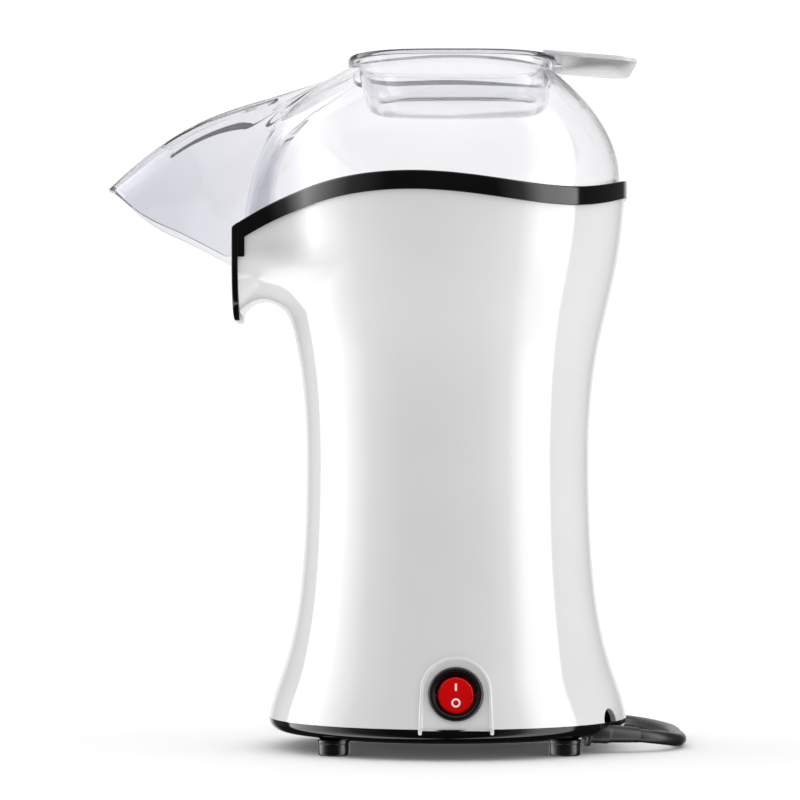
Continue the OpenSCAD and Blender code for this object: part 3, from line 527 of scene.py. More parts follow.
# Stations along the plug: place, half width, half thickness and how square it is there
PLUG_COLLAR, GROOVE_PITCH, GROOVE_GROWTH = -6.4, 2.2, 0.5
plug_stations = [(-8, 4.0, 4.0, 2), (-7.6, 4.4, 4.4, 2)]
for k in range(3):
    for step, r in ((-0.4, 4.9), (0, 4.1), (0.5, 4.1), (0.9, 5.1)):
        r += GROOVE_GROWTH * k
        plug_stations.append((PLUG_COLLAR + GROOVE_PITCH * k + step, r, r, 2))
plug_stations += [(0.2, 7.4, 6.6, 2.1), (1.2, 9.6, 7.2, 2.2), (2.6, 12.2, 7.7, 2.3), (4.4, 14.4, 7.9, 2.4),
                  (7, 15.9, 8, 2.5), (9.2, 16.4, 8, 2.6), (9.6, 15.9, 7.5, 2.6), (10.4, 15.9, 7.5, 2.6),
                  (10.8, 16.5, 8, 2.6), (12.2, 16.6, 8, 2.6), (12.6, 16.1, 7.5, 2.6), (13.4, 16.1, 7.5, 2.6),
                  (13.8, 16.7, 8, 2.6), (20.4, 17, 8, 2.7), (21.4, 16.7, 7.7, 2.7), (22, 15.8, 6.8, 2.7)]
plug = rings_mesh("plug_moulding", [plug_ring(*s) for s in plug_stations])
piece(plug, "base", "cord_black", "plug_body")

PIN_SIDE = 9.5
pin_profile = [[0, 21], [2, 21], [2, 31], [1.94, 31.05], [1.94, 39.6], [1.75, 40.3], [1.3, 40.8], [0.7, 41], [0, 41]]
pins = []
for name, side in (("pin_a", -1), ("pin_b", 1)):
    pins.append(lathe(name, pin_profile, 32, place=lambda points: place_plug(
        [[z, side * PIN_SIDE + x, y] for x, y, z in points])))
for pin in pins:
    piece(pin, "base", "pin_nickel", "plug_pins")

# A strap over the coil: its path seen along the cord, and its own flat section
TIE_TURN = math.radians(-60)
tie_path = rounded([[25.4, 0.45], [25.4, 12.3], [38.6, 12.3], [38.6, 0.45]], [0, 3.4, 3.4, 0], 8)
tie_rings = []
for k in range(len(tie_path)):
    ahead = tie_path[min(k + 1, len(tie_path) - 1)] - tie_path[max(k - 1, 0)]
    ahead = ahead / np.linalg.norm(ahead)
    out = np.array([-ahead[1], ahead[0]])
    ring = []
    for y, d in rounded([[-2.6, -0.4], [2.6, -0.4], [2.6, 0.4], [-2.6, 0.4]], 0.35, 3):
        q = tie_path[k] + out * d
        c, s = math.cos(TIE_TURN), math.sin(TIE_TURN)
        ring.append([COIL[0] + q[0] * c - y * s, COIL[1] + q[0] * s + y * c, q[1]])
    tie_rings.append(ring)
tie = rings_mesh("coil_tie", tie_rings)
piece(tie, "base", "tie_dark", "cord_tie")


# ---------------------------------------------------------------- shell

# The beak's underside is level, and drops toward the front plate's foot
BEAK_FLOOR, BEAK_CORNER = 196.0, 24.0
DROP_FROM, DROP_RUN, DROP, DROP_POWER = -78.0, 12.8, 7.0, 2.4
# How widely the beak and the barrel flow together, low down and from where the beak's sides begin
FLOW_LOW, FLOW_MORE, FLOW_RISE = 13.0, 19.0, (190, 220)
# Heights over which the flowing shape passes into the band's plan
PLAN_RISE = (206, 220)
# How near the surface, in millimetres, a vertex of the first mesh has to be to be drawn onto it
NEAR = 0.9


def rounded_union(a, b, k):
    """The nearer of two distances, with a fillet of size k where they meet."""
    h = np.clip(k - np.abs(a - b), 0, None) / k
    return np.minimum(a, b) - h * h * k / 4


def shell_field(p):
    """Distance to the shell's outer surface, in millimetres, negative inside."""
    x, y, z = p[..., 0], np.abs(p[..., 1]), p[..., 2]
    r = side_radius(z)
    half, corner = BEAK_HALF - 1, BEAK_CORNER
    barrel = np.hypot(x, y) - r
    under = BEAK_FLOOR - DROP * (np.clip(DROP_FROM - x, 0, None) / DROP_RUN) ** DROP_POWER
    qx, qz = y - (half - corner), under + corner - z
    beak = np.hypot(np.clip(qx, 0, None), np.clip(qz, 0, None)) - corner + np.minimum(np.maximum(qx, qz), 0)
    beak = np.maximum(beak, x)
    low = rounded_union(barrel, beak, FLOW_LOW + FLOW_MORE * smooth(*FLOW_RISE, z))
    blend = BEAK_BLEND + 1
    cx, cy = -np.sqrt((r + blend) ** 2 - (half + blend) ** 2), half + blend
    strip = np.maximum(y - half, x)
    high = np.minimum(barrel, strip)
    in_blend = (x > cx) & (x * cy - y * cx < 0) & (y < cy) & (x < 0)
    high = np.where(in_blend, blend - np.hypot(x - cx, y - cy), high)
    w = smooth(*PLAN_RISE, z)
    return low * (1 - w) + high * w


def field_slope(f, p, e):
    """How the distance changes along each axis, from points e to either side."""
    g = np.empty_like(p)
    for i in range(3):
        step = np.zeros(3)
        step[i] = e
        g[..., i] = (f(p + step) - f(p - step)) / (2 * e)
    return g


def field_mesh(name, f, low, high, voxel):
    """The surface where f is 0, drawn from a grid and then moved onto it by Newton steps."""
    axes = [np.arange(low[i], high[i] + voxel / 2, voxel) for i in range(3)]
    grid_points = np.stack(np.meshgrid(*axes, indexing="ij"), -1)
    values = np.clip(f(grid_points), -4, 4).astype(np.float32)
    grid = openvdb.FloatGrid(4.0)
    grid.copyFromArray(values)
    points, quads = grid.convertToQuads(0.0)
    p = points.astype(float) * voxel + np.array(low)
    close = (np.abs(f(p)) < NEAR)[:, None]
    for _ in range(5):
        g = field_slope(f, p, 0.05)
        p = p - close * f(p)[:, None] * g / np.maximum((g * g).sum(1), 0.2)[:, None]
    return mesh_object(name, p, quads)


def slice_off(bm, point, normal):
    """Removes what lies past a plane."""
    geom = bm.verts[:] + bm.edges[:] + bm.faces[:]
    bmesh.ops.bisect_plane(bm, geom=geom, plane_co=point, plane_no=normal, clear_outer=True, dist=1e-7)


def shift_by_wave(bm, sign):
    """Lifts everything by the wavy line's height, or lowers it, so that a flat cut follows the line."""
    for v in bm.verts:
        v.co.z += sign * float(wave((v.co.x - AXIS_X) * 1000)) / 1000


def on_panel(points):
    """Local points of the switch panel: across, up along it, and out of it."""
    turn = np.array(Matrix.Rotation(math.radians(90 - PANEL_TILT), 3, "X"))
    return np.asarray(points, float) @ turn.T + np.array(SWITCH)


def panel_outline(inset, foot, half_foot, steps):
    """The switch panel's arch, round above and a little wider at its foot."""
    return [[half_foot - inset, foot]] + arc(0, 1, PANEL_R - inset, 0, math.pi, steps) + [[inset - half_foot, foot]]


shell = field_mesh("shell", shell_field, (-100, -86, 4), (86, 86, 262), 1.6)
bm = bmesh.new()
bm.from_mesh(shell.data)
bmesh.ops.recalc_face_normals(bm, faces=bm.faces)
front_x = AXIS_X - (PLATE_REACH - PLATE_T) / 1000
slice_off(bm, (0, 0, SHELL_Z / 1000), (0, 0, -1))
slice_off(bm, (front_x, 0, 0), (-1, 0, 0))
shift_by_wave(bm, -1)
slice_off(bm, (0, 0, -BAND_H / 1000), (0, 0, 1))
shift_by_wave(bm, 1)
bm.to_mesh(shell.data)
bm.free()
wall(shell, SHELL_WALL / 1000)

NOTCH_TURN, NOTCH_R, NOTCH_Z = math.radians(-27.5), 6.15, 12.85


def on_notch(points):
    """Local points across, up, and out from the body's axis, at the cord's notch."""
    c, s = math.cos(NOTCH_TURN), math.sin(NOTCH_TURN)
    return np.array([[out * c - across * s, out * s + across * c, up] for across, up, out in points])


panel_hole = prism("panel_hole", panel_outline(-0.1, -30.0, PANEL_HALF_FOOT, 49), -20, 20, on_panel)
notch_arch = [[-NOTCH_R * math.cos(a), NOTCH_Z + NOTCH_R * math.sin(a)] for a in np.linspace(0, math.pi, 25)]
notch_hole = prism("notch_hole", [[-NOTCH_R, -2]] + notch_arch + [[NOTCH_R, -2]], 55, 92, on_notch)
cut(shell, panel_hole, notch_hole)
piece(shell, "base", "white_gloss", "body_shell", angle=40)

# How far a vertex may lie from the true surface, and how far its face may turn from it, to count as outer skin
SKIN_DISTANCE, SKIN_COSINE, SKIN_STEP = 0.06, 0.85, 1.2


def smooth_skin(mesh):
    """Exact normals over the shell's outer skin, so that its reflections run clean."""
    co = np.empty(len(mesh.vertices) * 3)
    mesh.vertices.foreach_get("co", co)
    local = (co.reshape(-1, 3) - np.array([AXIS_X, 0, 0])) * 1000
    distance = shell_field(local)
    slope = field_slope(shell_field, local, SKIN_STEP)
    slope /= np.maximum(np.linalg.norm(slope, axis=1), 1e-6)[:, None]
    vertex = np.empty(len(mesh.loops), int)
    mesh.loops.foreach_get("vertex_index", vertex)
    normals = np.empty(len(mesh.loops) * 3)
    mesh.corner_normals.foreach_get("vector", normals)
    normals = normals.reshape(-1, 3)
    facing = np.zeros((len(mesh.loops), 3))
    for p in mesh.polygons:
        facing[p.loop_start:p.loop_start + p.loop_total] = p.normal
    skin = (np.abs(distance[vertex]) < SKIN_DISTANCE) & ((facing * slope[vertex]).sum(1) > SKIN_COSINE)
    normals[skin] = slope[vertex][skin]
    mesh.normals_split_custom_set(normals.tolist())


smooth_skin(shell.data)


# ---------------------------------------------------------------- band and front plate

def plan_line(inset, reach, n_round=260, n_blend=44):
    """The band's plan from the beak's far front corner round the rear to its near one, and its normals."""
    r, half, blend = BAND_R - inset, BEAK_HALF - inset, BEAK_BLEND + inset
    turn = math.atan2(BLEND_Y, BLEND_X)
    pts, nrm = [], []
    for x in np.linspace(-reach, BLEND_X, 14)[:-1]:
        pts.append([x, half])
        nrm.append([0, 1])
    for a in np.linspace(-math.pi / 2, turn - math.pi, n_blend)[:-1]:
        pts.append([BLEND_X + blend * math.cos(a), BLEND_Y + blend * math.sin(a)])
        nrm.append([-math.cos(a), -math.sin(a)])
    for a in np.linspace(turn, -turn, n_round):
        pts.append([r * math.cos(a), r * math.sin(a)])
        nrm.append([math.cos(a), math.sin(a)])
    for q, m in list(zip(pts, nrm))[len(nrm) - n_round - 1::-1]:
        pts.append([q[0], -q[1]])
        nrm.append([m[0], -m[1]])
    return np.array(pts), np.array(nrm)


band_section = rounded([[0, -BAND_H], [0, 0], [-BAND_WALL, 0], [-BAND_WALL, -BAND_H]], [0.35, 0.9, 0.6, 0.2], 5)
band_rings = []
for p, n in zip(*plan_line(0.0, PLATE_REACH - PLATE_T)):
    at = p[None, :] + n[None, :] * band_section[:, :1]
    band_rings.append(np.column_stack([at, wave(at[:, 0]) + band_section[:, 1]]))
band = rings_mesh("band", band_rings)
piece(band, "base", "black_gloss", "top_band", angle=50)


PLATE_HALF, PLATE_CORNER = 37.4, 25.0
PLATE_TOP_AT, PLATE_TOP_SLOPE = -90.5, 0.75
CHUTE_HALF, CHUTE_SILL, CHUTE_CORNER = 34.3, 216.0, 1.5


def plate_line(inset, x):
    """The front plate's outline seen from the front, with a prong at each side of the chute."""
    half, low, corner = PLATE_HALF - inset, PLATE_Z + inset, PLATE_CORNER - inset
    top = float(wave(PLATE_TOP_AT)) + PLATE_TOP_SLOPE * (x - PLATE_TOP_AT) - inset
    gap, sill, small = CHUTE_HALF + inset, CHUTE_SILL - inset, CHUTE_CORNER
    outline = [[-half, top]] + arc(-half + corner, low + corner, corner, math.pi, 1.5 * math.pi, 40)
    outline += arc(half - corner, low + corner, corner, 1.5 * math.pi, 2 * math.pi, 40) + [[half, top], [gap, top]]
    outline += arc(gap - small, sill + small, small, 0, -math.pi / 2, 7)
    outline += arc(-gap + small, sill + small, small, -math.pi / 2, -math.pi, 7) + [[-gap, top]]
    return [[x, y, z] for y, z in outline]


PLATE_BACK = PLATE_T - PLATE_REACH
plate_rings = [plate_line(0.25, PLATE_BACK), plate_line(0.0, PLATE_BACK - 0.2)]
PLATE_EDGE = 0.7
for k in range(7):
    a = math.pi / 2 * k / 6
    plate_rings.append(plate_line(PLATE_EDGE * (1 - math.cos(a)), PLATE_EDGE - PLATE_REACH - PLATE_EDGE * math.sin(a)))
plate = rings_mesh("front_cover", plate_rings)
piece(plate, "base", "black_gloss", "front_plate", angle=40)

TAB_Y, TAB_HALF = 36.3, 0.9
tab_outline = rounded([[-91.0, 212.3], [-87.6, 212.3], [-87.6, 221.0], [-91.0, 221.0]], [0, 0.8, 0.8, 0], 4)
for name, side in (("front_cover_tab_near", -1), ("front_cover_tab_far", 1)):
    tab = rings_mesh(name, [[[x, side * TAB_Y + side * TAB_HALF * s, z] for x, z in tab_outline]
                            for s in (-1, -0.2, 0.7, 1.0)])
    piece(tab, "base", "black_gloss", "front_plate")


# ---------------------------------------------------------------- hood

HOOD_IN, HOOD_WALL, OPENING_X = 3.4, 2.2, 2.0
MOUTH_LINE = np.array([[-149, 238], [-136.5, 232.5], [-117, 224.3], [-96, 213.7]])


# Degrees from the rear over which the spout takes shape, and places ahead of the axis over which its tip does
SPOUT_FROM, SPOUT_TO, TIP_FROM, TIP_TO = 105, 165, 120, 148
RIM_HALF_X, RIM_HALF_Y, RIM_Z, RIM_FALL_REAR, RIM_FALL_FRONT = 44.5, 43.0, 298.4, 4.6, 1.7
# The ledge inside the band, how far the wall reaches below it, and where the ledge ends
LEDGE_DROP, SEAT, LEDGE_END, LEDGE_FLAT = 4.3, 0.8, -94.0, -92.0
TIP_Z, FOOT_SOFTNESS = 244.5, 4.0
# Handles of the wall's curve, outward and up, at its foot and its rim: at the rear, the front and the spout's tip
FOOT_HANDLES = ([0, 8], [-3, 30], [-41, 39])
RIM_HANDLES = ([32, -23], [40, -20], [53, -20.5])
WALL_STEPS = 64
SLOT_X, SLOT_Y, SLOT_R = (-124, -74), (-12, 0, 12), 1.2


def mix(a, b, w):
    return np.asarray(a, float) * (1 - w) + np.asarray(b, float) * w


def hood_plan():
    """Where the hood's outside meets the ledge, from the rear round to the spout's tip and back."""
    r, half, blend = BAND_R - HOOD_IN, BEAK_HALF - HOOD_IN, BEAK_BLEND + HOOD_IN
    turn = math.atan2(BLEND_Y, BLEND_X)
    pts = arc(0, 0, r, 0, turn, 70) + arc(BLEND_X, BLEND_Y, blend, turn - math.pi, -math.pi / 2, 22)[1:]
    pts += [[x, half] for x in (-78.0, -82.0, -86.0, -90.0, -93.0, -93.9, -94.1, -95.0)]
    pts += bezier([[-96, half], [-118, half], [-149, 27], [-149, 0]], np.linspace(0, 1, 40)).tolist()
    return np.array(pts + [[p[0], -p[1]] for p in pts[-2:0:-1]])


def hood_controls(p):
    """Height of the wall's lower edge at a place of the plan, and the four controls of its curve."""
    a = math.atan2(p[1], p[0] - OPENING_X)
    front = float(smooth(0, 1, (abs(math.degrees(a)) - SPOUT_FROM) / (SPOUT_TO - SPOUT_FROM)))
    side = min(1.0, abs(p[1]) / (BEAK_HALF - HOOD_IN))
    tip = front * float(smooth(0, 1, (-p[0] - TIP_FROM) / (TIP_TO - TIP_FROM)))
    tip *= 1 - float(smooth(0, 1, side * 1.2 - 0.2))
    c = abs(math.cos(a))
    rim_z = RIM_Z - c * c * (RIM_FALL_REAR + (RIM_FALL_FRONT - RIM_FALL_REAR) * front)
    top = np.array([squared_radius(a, RIM_HALF_X, RIM_HALF_Y, 3), rim_z])
    mouth = float(np.interp(p[0], MOUTH_LINE[:, 0], MOUTH_LINE[:, 1]))
    ledge = float(wave(max(p[0], LEDGE_FLAT))) - LEDGE_DROP
    if p[0] > LEDGE_END:
        edge, base = ledge - SEAT, ledge
    else:
        # past the ledge the curve's foot follows whichever of ledge and mouth is higher, with a soft change
        gap = mouth - ledge
        over = float(smooth(LEDGE_END, LEDGE_END - 6, p[0]))
        edge, base = mouth, ledge + 0.5 * (gap + math.sqrt(gap * gap + FOOT_SOFTNESS)) * over
    foot = np.array([math.hypot(p[0] - OPENING_X, p[1]), base + (TIP_Z - base) * tip])
    edge += (TIP_Z - edge) * tip
    foot_handle, rim_handle = (mix(rear, mix(ahead, at_tip, tip), front)
                               for rear, ahead, at_tip in (FOOT_HANDLES, RIM_HANDLES))
    return min(edge, foot[1] - 0.1), np.array([foot, foot + foot_handle, top + rim_handle, top])


def hood_column(p):
    """The wall's closed section at a place of the plan: outside, inside, and the rounded lower edge."""
    a = math.atan2(p[1], p[0] - OPENING_X)
    low, outer = hood_controls(p)
    w = HOOD_WALL
    inner = outer + np.array([[-w, 0], [-w, -0.4 * w], [-0.6 * w, -w], [0, -w]])
    # below the curve the wall runs on straight to its edge
    run_on = (outer[1] - outer[0]) * (outer[0][1] - low) / max(outer[1][1] - outer[0][1], 4.0)
    out_line = np.vstack([outer[0] - run_on, bezier(outer, np.linspace(0, 1, WALL_STEPS))])
    in_line = np.vstack([bezier(inner, np.linspace(1, 0, WALL_STEPS)), inner[0] - run_on])
    low_in, low_out = in_line[-1], out_line[0]
    middle = (low_in + low_out) / 2
    down = np.array([0.0, -1.0])
    bend = [middle + (low_in - middle) * math.cos(t) + down * math.sin(t) for t in np.linspace(0, math.pi, 9)[1:-1]]
    return [[OPENING_X + r * math.cos(a), r * math.sin(a), z] for r, z in np.vstack([out_line, in_line, bend])]


hood = rings_mesh("clear_hood", [hood_column(p) for p in hood_plan()], loop=True)
slot_tools = []
for y in SLOT_Y:
    outline = arc(SLOT_X[1] - SLOT_R, y, SLOT_R, -math.pi / 2, math.pi / 2, 9)
    outline += arc(SLOT_X[0] + SLOT_R, y, SLOT_R, math.pi / 2, 1.5 * math.pi, 9)
    slot_tools.append(prism("slot_tool", outline, 236, 320))
cut(hood, *slot_tools)
piece(hood, "hood", "clear_plastic_hood", "hood", angle=32, slot="clear_plastic")


# ---------------------------------------------------------------- measuring cup

CUP_TOP, CUP_BOTTOM, TOP_X, LOW_X = 301.0, 279.4, 2.1, 4.4
# Half sizes above the floor's rounding, outside and inside, and how much they grow up to the rim
CUP_OUT, CUP_IN, CUP_FLARE = (40.5, 39.2), (38.9, 37.6), (2.3, 2.2)
OUT_CORNER, IN_CORNER, IN_FLOOR = 5.5, 4.4, 6.0
RIM_BELOW = 2.3
HANDLE_END, HANDLE_HALF, HANDLE_ROOT, HANDLE_DROP, HANDLE_FALL = 82, 31.5, 36, 4, math.tan(math.radians(4.6))
HANDLE_MIDDLE = 60.0


def soft_ring(x, half_x, half_y, z):
    """One level ring of the cup: a square with well rounded corners, its middle at x."""
    out = []
    for a in full_turn(160):
        r = squared_radius(a, half_x, half_y, 3.0)
        out.append([x + r * math.cos(a), r * math.sin(a), z])
    return out


def cup_side(half, floor, t):
    """A ring of the cup's side, from t = 0 at the floor's rounding to 1 below the rim."""
    rise = CUP_TOP - RIM_BELOW - CUP_BOTTOM - floor
    return (LOW_X + (TOP_X - LOW_X) * t, half[0] + CUP_FLARE[0] * t, half[1] + CUP_FLARE[1] * t,
            CUP_BOTTOM + floor + rise * t)


cup_line = []
for k in range(9):
    t = math.pi / 2 * k / 8
    cup_line.append((LOW_X, *(h - OUT_CORNER + OUT_CORNER * math.sin(t) for h in CUP_OUT),
                     CUP_BOTTOM + OUT_CORNER - OUT_CORNER * math.cos(t)))
cup_line += [cup_side(CUP_OUT, OUT_CORNER, t) for t in np.linspace(0.08, 1, 12)]
# The rim: half sizes and depth below the top
for half_x, half_y, below in ((43.0, 41.6, 2.15), (43.4, 42.0, 2.1), (45.2, 43.95, 2.1), (45.6, 44.35, 1.95),
                              (45.75, 44.5, 1.6), (45.75, 44.5, 0.6), (45.57, 44.32, 0.18), (45.15, 43.9, 0),
                              (42.6, 41.2, 0), (41.8, 40.4, 0.25), (41.3, 39.9, 0.9)):
    cup_line.append((TOP_X, half_x, half_y, CUP_TOP - below))
cup_line += [cup_side(CUP_IN, IN_FLOOR, t) for t in np.linspace(0.92, 0.0, 12)]
for k in range(1, 7):
    t = math.pi / 2 * k / 6
    cup_line.append((LOW_X, *(h - IN_CORNER + IN_CORNER * math.cos(t) for h in CUP_IN),
                     CUP_BOTTOM + IN_FLOOR - IN_CORNER * math.sin(t)))
cup = rings_mesh("cup", [soft_ring(*ring) for ring in cup_line])

handle_outline = rounded([[HANDLE_ROOT, -HANDLE_HALF], [HANDLE_END, -HANDLE_HALF], [HANDLE_END, HANDLE_HALF],
                          [HANDLE_ROOT, HANDLE_HALF]], [0, 12, 12, 0], 14)
handle_rings = []
for inset, h in ((0.7, 0), (0.2, 0.15), (0, 0.6), (0, 1.4), (0.2, 1.85), (0.7, 2.0)):
    ring = []
    for x, y in handle_outline:
        out = x - HANDLE_MIDDLE
        x2 = HANDLE_MIDDLE + out * ((abs(out) - inset) / abs(out) if out > 0 else 1)
        y2 = y * (abs(y) - inset) / max(abs(y), 1e-6)
        ring.append([x2, y2, CUP_TOP - HANDLE_DROP + h + (HANDLE_END - x2) * HANDLE_FALL])
    handle_rings.append(ring)
handle = rings_mesh("cup_handle", handle_rings)
cut(handle, rings_mesh("handle_tool", [soft_ring(TOP_X, 45.2, 43.95, z) for z in (CUP_TOP - 30, CUP_TOP + 20)]))
rib_outline = rounded([[46.6, -3], [50.2, -3], [50.2, 3], [46.6, 3]], 0.6, 4)
rib = prism("cup_rib", rib_outline, CUP_TOP - 6.5, CUP_TOP - 1.9)
for part, finish in ((cup, "clear_plastic"), (handle, "clear_plastic_handle"), (rib, "clear_plastic")):
    piece(part, "cup", finish, "measuring_cup", angle=40, slot="clear_plastic")


# ---------------------------------------------------------------- base dish and feet

DISH_SLOTS, POST_R, POST_TOP = 24, 42, 52
FOOT_X, FOOT_Y = 49, 47
dish_under = rounded([[48, 5.5], [70, 6.6], [75.4, 8.0], [77.7, 10.2], [78.2, 13.2]], [0, 6, 6, 4, 0], 6)
dish_profile = np.vstack([[[0, 5.5]], [[48, 5.5]], dish_under[1:], [[77.8, 13.2], [75.8, 13.2]],
                          [[75.4, 10.5], [73.5, 8.7], [70, 7.9], [0, 7.9]]])
dish = lathe("lower_dish", dish_profile, 192)
dish_tools = []
slot_outline = rounded([[14, -1.4], [32, -1.4], [32, 1.4], [14, 1.4]], 1.2, 3)
for k in range(DISH_SLOTS):
    c, s = math.cos(math.radians(360 / DISH_SLOTS * k)), math.sin(math.radians(360 / DISH_SLOTS * k))
    dish_tools.append(prism("dish_slot_tool", [[x * c - y * s, x * s + y * c] for x, y in slot_outline], 0, 20))
for x in (-FOOT_X, FOOT_X):
    for y in (-FOOT_Y, FOOT_Y):
        dish_tools.append(lathe("dish_hole_tool", [[0, 0], [1.7, 0], [1.7, 20], [0, 20]], 32, (x, y)))
dish_tools.append(lathe("dish_bore_tool", [[0, -34], [4.5, -34], [4.5, 40], [0, 40]], 48, place=place_relief))
cut(dish, *dish_tools)
piece(dish, "base", "black_gloss", "base_dish")

post_profile = [[1.25, 40], [1.25, POST_TOP - 0.2], [1.5, POST_TOP], [3.3, POST_TOP], [3.5, POST_TOP - 0.2],
                [3.7, 12], [4.6, 8.6], [5.4, 7.8], [0, 7.8], [0, 40]]
for k in range(4):
    a = math.radians(90 * k)
    post = lathe("dish_post_%d" % k, post_profile, 48, (POST_R * math.cos(a), POST_R * math.sin(a)))
    piece(post, "base", "black_gloss", "base_dish")

foot_profile = [[1.7, 2.5], [3.1, 2.5], [3.1, 0.3], [3.4, 0.0], [5.7, 0.0], [6.2, 0.15], [6.55, 0.5], [6.7, 1.0],
                [6.7, 3.2], [6.6, 5.0], [6.9, 5.3], [6.9, 6.6], [1.7, 6.6]]
for end, x in (("front", -FOOT_X), ("rear", FOOT_X)):
    for side, y in (("near", -FOOT_Y), ("far", FOOT_Y)):
        node_name = "foot_%s_%s" % (end, side)
        piece(lathe("round_" + node_name, foot_profile, 72, (x, y)), "base", "foot_rubber", node_name)


# ---------------------------------------------------------------- switch

PANEL_FOOT, PANEL_WALL = -14.5, 0.0012
half_foot = PANEL_R + (PANEL_HALF_FOOT - PANEL_R) * ((1 - PANEL_FOOT) / 21.0)
# The raised bead round the panel: how far in from its edge, and how far out of its face
bead = [(0.0, -6.0), (0.0, -0.1), (0.06, 0.3), (0.22, 0.6), (0.5, 0.78), (0.85, 0.84), (1.2, 0.78), (1.48, 0.6),
        (1.66, 0.32), (1.76, 0.08), (2.0, 0.0)]
panel = rings_mesh("switch_plate", [on_panel([[x, y, h] for x, y in panel_outline(i, PANEL_FOOT, half_foot, 65)])
                                    for i, h in bead], caps=(False, True))
wall(panel, PANEL_WALL)
cut(panel, lathe("panel_bore_tool", [[0, -14], [10.0, -14], [10.0, 10], [0, 10]], 96, place=on_panel))
piece(panel, "base", "white_gloss", "switch_panel")

# The bead's two ends, which come down over the dish's rim
NUB_X, NUB_Z = 14.95, 12.5
nub_outline = rounded([[14.15, 11.0], [15.75, 11.0], [15.75, 14.0], [14.15, 14.0]], 0.75, 4)
for name, side in (("plate_nub_front", -1), ("plate_nub_rear", 1)):
    nub = rings_mesh(name, [[[SWITCH[0] + side * (NUB_X + (x - NUB_X) * k), y, NUB_Z + (z - NUB_Z) * k]
                             for x, z in nub_outline]
                            for y, k in ((-76.4, 1.0), (-78.2, 1.0), (-78.55, 0.85), (-78.7, 0.5))])
    piece(nub, "base", "white_gloss", "switch_panel")

bezel_profile = [[0, -17], [9.9, -17], [9.9, 0.02], [10.9, 0.02], [11.4, 0.15], [11.5, 0.45], [11.42, 1.0],
                 [11.1, 1.5], [10.6, 1.8], [10.1, 1.86], [9.6, 1.7], [9.3, 1.35], [9.2, 0.9], [9.2, -1.0],
                 [8.5, -1.3], [8.5, -9], [0, -9]]
bezel = lathe("switch_ring", bezel_profile, 96, place=on_panel)
piece(bezel, "base", "black_satin", "switch_housing", angle=30)

REST_TILT, PIVOT, ROCKER_R = math.radians(8), 4.0, 7.25
FACE_RISE, FACE_CURVE = 1.0, 1.25


def on_rocker(points):
    """Local points about the rocker's pivot, tilted as it rests and put in the panel."""
    p = np.asarray(points, float)
    y, h = p[:, 1], p[:, 2]
    c, s = math.cos(REST_TILT), math.sin(REST_TILT)
    return on_panel(np.column_stack([p[:, 0], y * c - h * s, y * s + h * c - PIVOT]))


def rocker_face(y):
    """Height of the rocker's face above its pivot; both halves dish upward from the middle."""
    return PIVOT + 0.4 + FACE_RISE * (abs(y) / ROCKER_R) ** FACE_CURVE


def rocker_ring(r, drop):
    """A ring of the rocker, below its face by drop, or at its flat underside."""
    ring = []
    for a in full_turn(96):
        x, y = r * math.cos(a), r * math.sin(a)
        ring.append([x, y, -2.0 if drop is None else rocker_face(y) - drop])
    return on_rocker(ring)


rocker_edge = [(7.9, None), (7.95, 3.2), (7.9, 2.4), (7.7, 1.6), (7.48, 0.9), (7.36, 0.45), (7.2, 0.18), (6.95, 0.04)]
rocker_edge += [(r, 0.0) for r in (6.6, 5.6, 4.4, 3.2, 2.0, 0.9, 0.25)]
rocker = rings_mesh("rocker_button", [rocker_ring(r, drop) for r, drop in rocker_edge])
axle_profile = [[0, -9.6], [1.0, -9.6], [1.2, -9.4], [1.2, 9.4], [1.0, 9.6], [0, 9.6]]
axle = lathe("rocker_axle", axle_profile, 32, place=lambda points: on_rocker([[z, x, y] for x, y, z in points]))
piece(rocker, "rocker", "rocker_red", "rocker", angle=50)
piece(axle, "rocker", "rocker_red", "rocker")

MARK_LOW, MARK_HIGH, RING_Y = -0.25, 0.05, -3.0


def sign(name, lines, loop=False):
    """A mark let into the rocker's face, from its outlines and their heights over the face."""
    rings = [on_rocker([[x, y, rocker_face(y) + lift] for x, y in line]) for line, lift in lines]
    piece(rings_mesh(name, rings, loop=loop), "rocker", "mark_white", "rocker_marks")


bar = rounded([[-0.42, 2.0], [0.42, 2.0], [0.42, 5.0], [-0.42, 5.0]], 0.15, 3)
ring_out, ring_in = (arc(0, RING_Y, r, 0, 2 * math.pi, 65)[:-1] for r in (1.9, 1.15))
sign("mark_line", [(bar, MARK_LOW), (bar, MARK_HIGH)])
sign("mark_ring", [(ring_out, MARK_LOW), (ring_out, MARK_HIGH), (ring_in, MARK_HIGH), (ring_in, MARK_LOW)], loop=True)


# ---------------------------------------------------------------- studio

floor = mesh_object("floor", [[-6, -4, 0], [6, -4, 0], [6, 8, 0], [-6, 8, 0]], [(0, 1, 2, 3)], in_metres=True)
floor_tree, floor_shader = new_material("studio_floor")
floor_tree.links.new(ramp(floor_tree, add_noise(floor_tree, 3.0, 3.0), (0.90, 0.90, 0.90), (0.92, 0.92, 0.92)),
                     floor_shader.inputs["Base Color"])
settings(floor_shader, Roughness=0.9, Specular_IOR_Level=0.1, Emission_Color=(1, 1, 1, 1), Emission_Strength=0.04)
floor.data.materials.append(FINISH["studio_floor"])
floor.visible_glossy = False
floor.visible_diffuse = False

world = bpy.data.worlds.new("studio")
bpy.context.scene.world = world
world.use_nodes = True
sky = world.node_tree
sky.nodes.clear()

split = sky.nodes.new("ShaderNodeSeparateXYZ")
sky.links.new(sky.nodes.new("ShaderNodeTexCoord").outputs["Generated"], split.inputs["Vector"])
azimuth = maths(sky, "ARCTAN2", split.outputs["X"], maths(sky, "MULTIPLY", split.outputs["Y"], -1.0))
turn = span(sky, azimuth, -math.pi, math.pi)


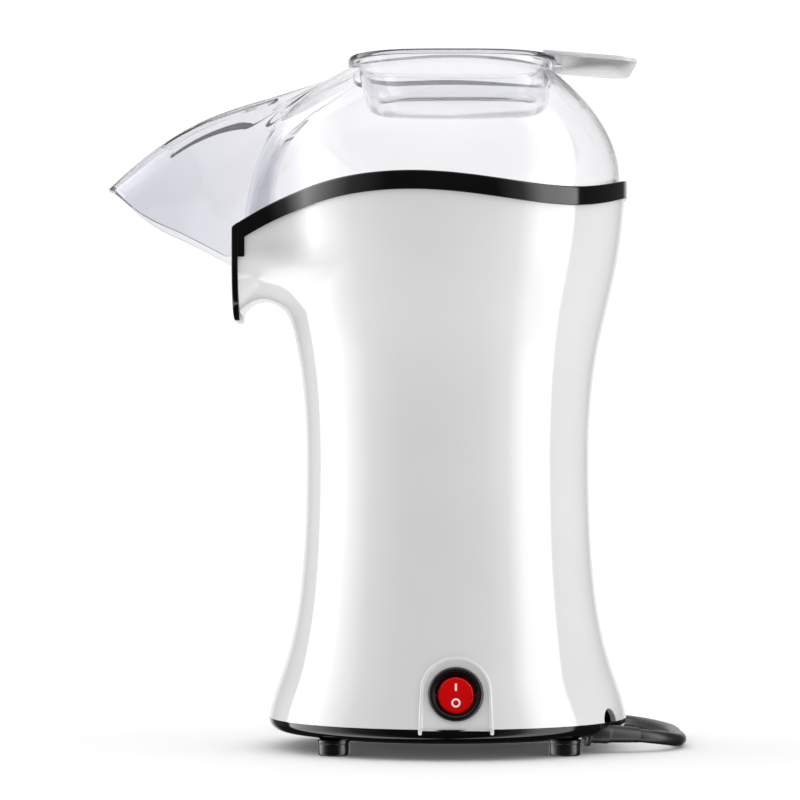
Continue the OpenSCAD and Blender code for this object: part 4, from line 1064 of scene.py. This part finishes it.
def strips(stops):
    """Brightness by azimuth, in degrees: -90 is the spout's side, 0 the camera's, 90 the handle's."""
    node = sky.nodes.new("ShaderNodeValToRGB")
    els = node.color_ramp.elements
    for e, (degrees, value) in zip((els[0], els[1]), (stops[0], stops[-1])):
        e.position, e.color = (degrees + 180) / 360, (value, value, value, 1)
    for degrees, value in stops[1:-1]:
        els.new((degrees + 180) / 360).color = (value, value, value, 1)
    sky.links.new(turn, node.inputs["Fac"])
    return node.outputs["Color"]


def fade(low, high):
    """0 to 1 as the direction's height goes from low to high."""
    return span(sky, split.outputs["Z"], low, high, soft=True)


def sky_mix(a, b, factor):
    """Colour a where the factor is 0 and b where it is 1; b is a socket or a brightness."""
    node = sky.nodes.new("ShaderNodeMix")
    node.data_type = "RGBA"
    socket_a, socket_b = [s for s in node.inputs if s.name in ("A", "B") and s.type == "RGBA"]
    sky.links.new(a, socket_a)
    if isinstance(b, float):
        socket_b.default_value = (b, b, b, 1)
    else:
        sky.links.new(b, socket_b)
    sky.links.new(factor, node.inputs[0])
    return [s for s in node.outputs if s.type == "RGBA"][0]


def background(strength, colour=None):
    node = sky.nodes.new("ShaderNodeBackground")
    settings(node, Color=(1, 1, 1, 1), Strength=strength)
    if colour:
        sky.links.new(colour, node.inputs["Color"])
    return node.outputs["Background"]


def choose(factor, a, b):
    node = sky.nodes.new("ShaderNodeMixShader")
    for socket, value in zip(node.inputs, (factor, a, b)):
        sky.links.new(value, socket)
    return node.outputs["Shader"]


glossy = strips([(-180, 1.0), (-163, 0.9), (-152, 0.12), (-127, 0.1), (-125, 4.2), (-98, 3.8), (-66, 0.6),
                 (-40, 0.06), (30, 0.06), (48, 0.7), (62, 3.6), (89, 4.2), (91, 0.1), (152, 0.1), (163, 0.9),
                 (180, 1.0)])
glossy_low = strips([(-180, 0.02), (-127, 0.05), (-125, 2.6), (-98, 2.4), (-66, 0.3), (-40, 0.03), (30, 0.03),
                     (48, 0.4), (62, 2.4), (89, 2.6), (91, 0.05), (180, 0.02)])
diffuse = strips([(-180, 0.75), (-127, 0.8), (-125, 1.75), (-95, 1.7), (-60, 0.85), (-17, 0.14), (17, 0.14),
                  (50, 1.1), (64, 1.6), (89, 1.7), (91, 0.85), (130, 0.8), (180, 0.75)])
# Dimmer reflections below the horizon, brighter diffuse light from below, and both even overhead
overhead = fade(0.5, 0.95)
glossy = sky_mix(sky_mix(glossy, glossy_low, fade(-0.18, -0.34)), 1.1, overhead)
diffuse = sky_mix(sky_mix(diffuse, 1.45, fade(-0.15, -0.75)), 1.0, overhead)
rays = sky.nodes.new("ShaderNodeLightPath").outputs
plain = background(1.05)
lit = choose(rays["Is Diffuse Ray"], plain, background(1.2, diffuse))
lit = choose(rays["Is Glossy Ray"], lit, background(1.0, glossy))
lit = choose(rays["Is Transmission Ray"], lit, plain)
sky.links.new(lit, sky.nodes.new("ShaderNodeOutputWorld").inputs["Surface"])
